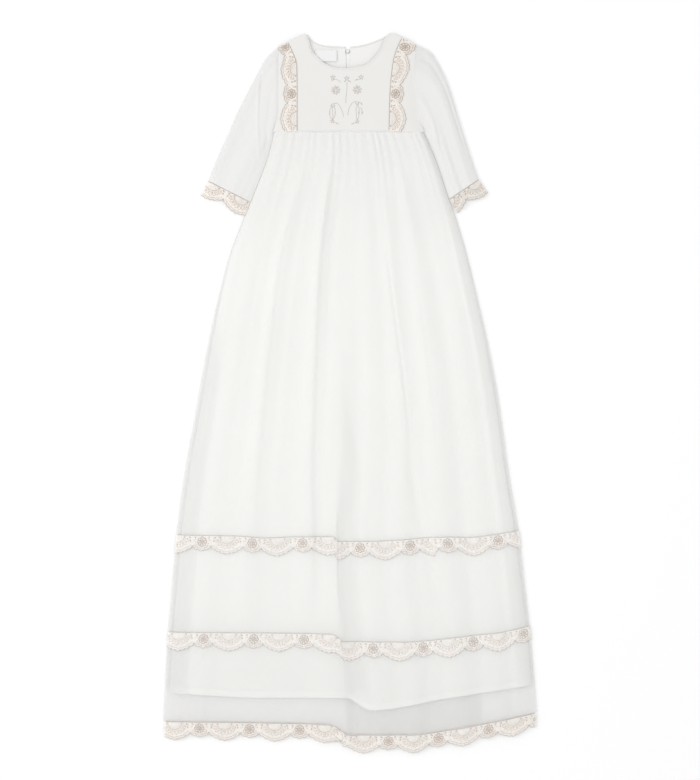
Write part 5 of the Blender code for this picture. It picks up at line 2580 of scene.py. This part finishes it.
@dataclass
class Stitching:
    """Small running stitches where the gown's pieces are sewn together."""

    skirt: SkirtForm
    bodice: BodiceForm
    length: float = 1.9
    gap: float = 1.1
    radius: float = 0.16
    label_top: float = 2.62

    def row(self, name: str, line: Array) -> Piece:
        """Makes one row of stitches.

        Args:
            name: The piece's name.
            line: Points that the row follows.

        Returns:
            The piece.
        """
        work = ThreadWork()
        run = run_of(line)
        for start in np.arange(0.5, run[-1] - self.length, self.length + self.gap):
            at = start + self.length * np.linspace(0, 1, 5)
            stitch = np.stack([np.interp(at, run, line[:, k]) for k in range(3)], axis=-1)
            stitch[:, 2] += self.radius * np.sin(math.pi * np.linspace(0, 1, 5))
            work.cord(stitch, self.radius, Tone.OUTLINE)
        return work.write(name, [WHITE_THREAD])

    def build(self, closure: Closure) -> dict[str, list[Piece]]:
        """Makes the rows.

        Args:
            closure: Where the label lies.

        Returns:
            The pieces of each sheet that they are sewn to.
        """
        x = np.linspace(YOKE_SEAM_LEFT[0].x + 1.6, YOKE_SEAM_RIGHT[0].x - 1.0, 181)
        waist = self.bodice.over(np.column_stack([x, np.full_like(x, WAIST_Y + 1.6)]), 0.1)
        neck = along(FRONT_NECK, np.linspace(0.03, 0.97, 161))
        neck = neck - 1.4 * left_of(neck)
        neck = self.bodice.over(neck, 0.1)
        across = np.linspace(0.05, 0.95, 241)
        down = np.full_like(across, 1 - (LINING_SHORT + 10.0) / SKIRT_LENGTH)
        hem_x, hem_y = self.skirt.plan(across, down, LINING_DROPS)
        hem = np.stack([hem_x, hem_y, self.skirt.lining_height(across, down) + 0.5], axis=-1)
        rows = []
        low, high = closure.label_y + 0.5, closure.label_y + closure.label_height - 0.5
        for x_at in (closure.label_x + 1.2, closure.label_x + closure.label_width - 1.2):
            up = np.linspace(low, high, 21)
            rows.append(np.column_stack([np.full(21, x_at), up, np.full(21, self.label_top)]))
        on_bodice = [self.row("waist_stitches", waist), self.row("neck_stitches", neck)]
        return {
            "bodice_front_center": on_bodice,
            "lining_front": [self.row("lining_hem_stitches", hem)],
            "label": [
                self.row(f"label_stitches_{side}", row) for side, row in zip(("left", "right"), rows)
            ],
        }


@dataclass
class Studio:
    """The white surface, the light and the camera."""

    camera_height: float = 2.4
    lens: float = 79.0
    look_x: float = 0.0
    look_y: float = 0.0042

    def floor(self) -> None:
        """Makes the white surface under the gown."""
        bpy.ops.object.select_all(action="DESELECT")
        bpy.ops.mesh.primitive_plane_add(size=8.0, location=(0.0, 0.0, -0.0006))
        floor = bpy.context.object
        floor.name = "white_surface"
        graph = NodeGraph("white_surface")
        graph.paint(graph.two_colours(graph.drift(3.0, 1.0), (0.93, 0.93, 0.93), (0.92, 0.92, 0.92)))
        graph.set(Roughness=0.9)
        floor.data.materials.append(graph.material)

    def lamp(self, name: str, place: tuple, size: float, power: float) -> None:
        """Adds a large soft lamp that looks at the gown.

        Args:
            name: Its name.
            place: Where it hangs.
            size: Its width.
            power: Its power in watts.
        """
        data = bpy.data.lights.new(name, "AREA")
        data.shape = "SQUARE"
        data.size = size
        data.energy = power
        lamp = bpy.data.objects.new(name, data)
        lamp.location = place
        lamp.rotation_euler = (-Vector(place)).to_track_quat("-Z", "Y").to_euler()
        bpy.context.scene.collection.objects.link(lamp)

    def build(self) -> None:
        """Sets up the surface, the lamps, the sky and the camera."""
        self.floor()
        self.lamp("top_softbox", (0.0, 0.1, 3.6), 3.0, 36.0)
        self.lamp("left_softbox", (-2.6, 0.6, 2.0), 1.6, 22.0)
        world = bpy.data.worlds.new("studio_sky")
        world.use_nodes = True
        sky = world.node_tree.nodes["Background"]
        sky.inputs["Color"].default_value = (1.0, 1.0, 1.0, 1.0)
        sky.inputs["Strength"].default_value = 0.775
        scene = bpy.context.scene
        scene.world = world
        scene.view_settings.view_transform = "Standard"
        scene.view_settings.look = "None"
        data = bpy.data.cameras.new("camera")
        data.sensor_width = 36.0
        data.lens = self.lens
        camera = bpy.data.objects.new("camera", data)
        camera.location = (self.look_x, self.look_y, self.camera_height)
        scene.collection.objects.link(camera)
        scene.camera = camera


def main() -> None:
    """Builds the gown's pieces in order."""
    logging.basicConfig(level=logging.INFO, format="%(name)s: %(message)s")
    form = SkirtForm()
    skirt = Skirt(form)
    skirt.build()
    bodice = Bodice()
    bodice.build()
    left_form = SleeveForm(SLEEVE_LEFT, ARMHOLE_LEFT, -1, LEFT_SLEEVE_FOLDS)
    right_form = SleeveForm(SLEEVE_RIGHT, ARMHOLE_RIGHT, 1, RIGHT_SLEEVE_FOLDS)
    sleeves = [
        Sleeve("sleeve_left", left_form, SLEEVE_LEFT_CLOTH),
        Sleeve("sleeve_right", right_form, SLEEVE_RIGHT_CLOTH),
    ]
    for sleeve in sleeves:
        sleeve.build()
    embroidery = Embroidery(bodice.form).build()
    binding = NeckEdge(bodice.form, bodice).build()
    closure = Closure(bodice)
    closure.button()
    label = closure.label()
    stitches = Stitching(form, bodice.form).build(closure)
    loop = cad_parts["button_loop"]
    loop.data.materials.clear()
    loop.data.materials.append(ROOM.material(LOOP_THREAD))
    for name, down, begin, lags, wander, length in (
        ("tier_lace_upper", UPPER_TIER_DOWN, 19.5, UPPER_LACE_LAGS, UPPER_WANDER, 0.55),
        ("tier_lace_lower", LOWER_TIER_DOWN, 6.0, LOWER_LACE_LAGS, LOWER_WANDER, 0.57),
    ):
        TierLace(name, form, down, begin, lags, wander).build((length, 0.026), ["skirt_front_cloth"])
    for name, drops, front, under in (
        ("hem_lace_back", BACK_DROPS, False, "white_surface"),
        ("hem_lace_front", HEM_DROPS, True, "hem_lace_back_net"),
    ):
        HemLace(name, form, drops, front).build((0.54, 0.026), [under])
    for name, seam, side, scale in (
        ("yoke_lace_left", YOKE_SEAM_LEFT, -1, 0.75),
        ("yoke_lace_right", YOKE_SEAM_RIGHT, 1, 1.2),
    ):
        under = name.replace("yoke_lace", "bodice_front") + "_cloth"
        YokeLace(name, bodice.form, seam, side, scale).build((0.135, 0.024), [under])
    # Painted shade on the cuffs' lace, deepest on the right cuff, which also lies denser and crumpled.
    for sleeve, lift in zip(sleeves, (-0.01, -0.10)):
        name = sleeve.name.replace("sleeve", "cuff_lace")
        CuffLace(name, sleeve.form, lift).build((0.064, 0.024), ["white_surface"])
    Studio().build()


if __name__ == "__main__":
    main()
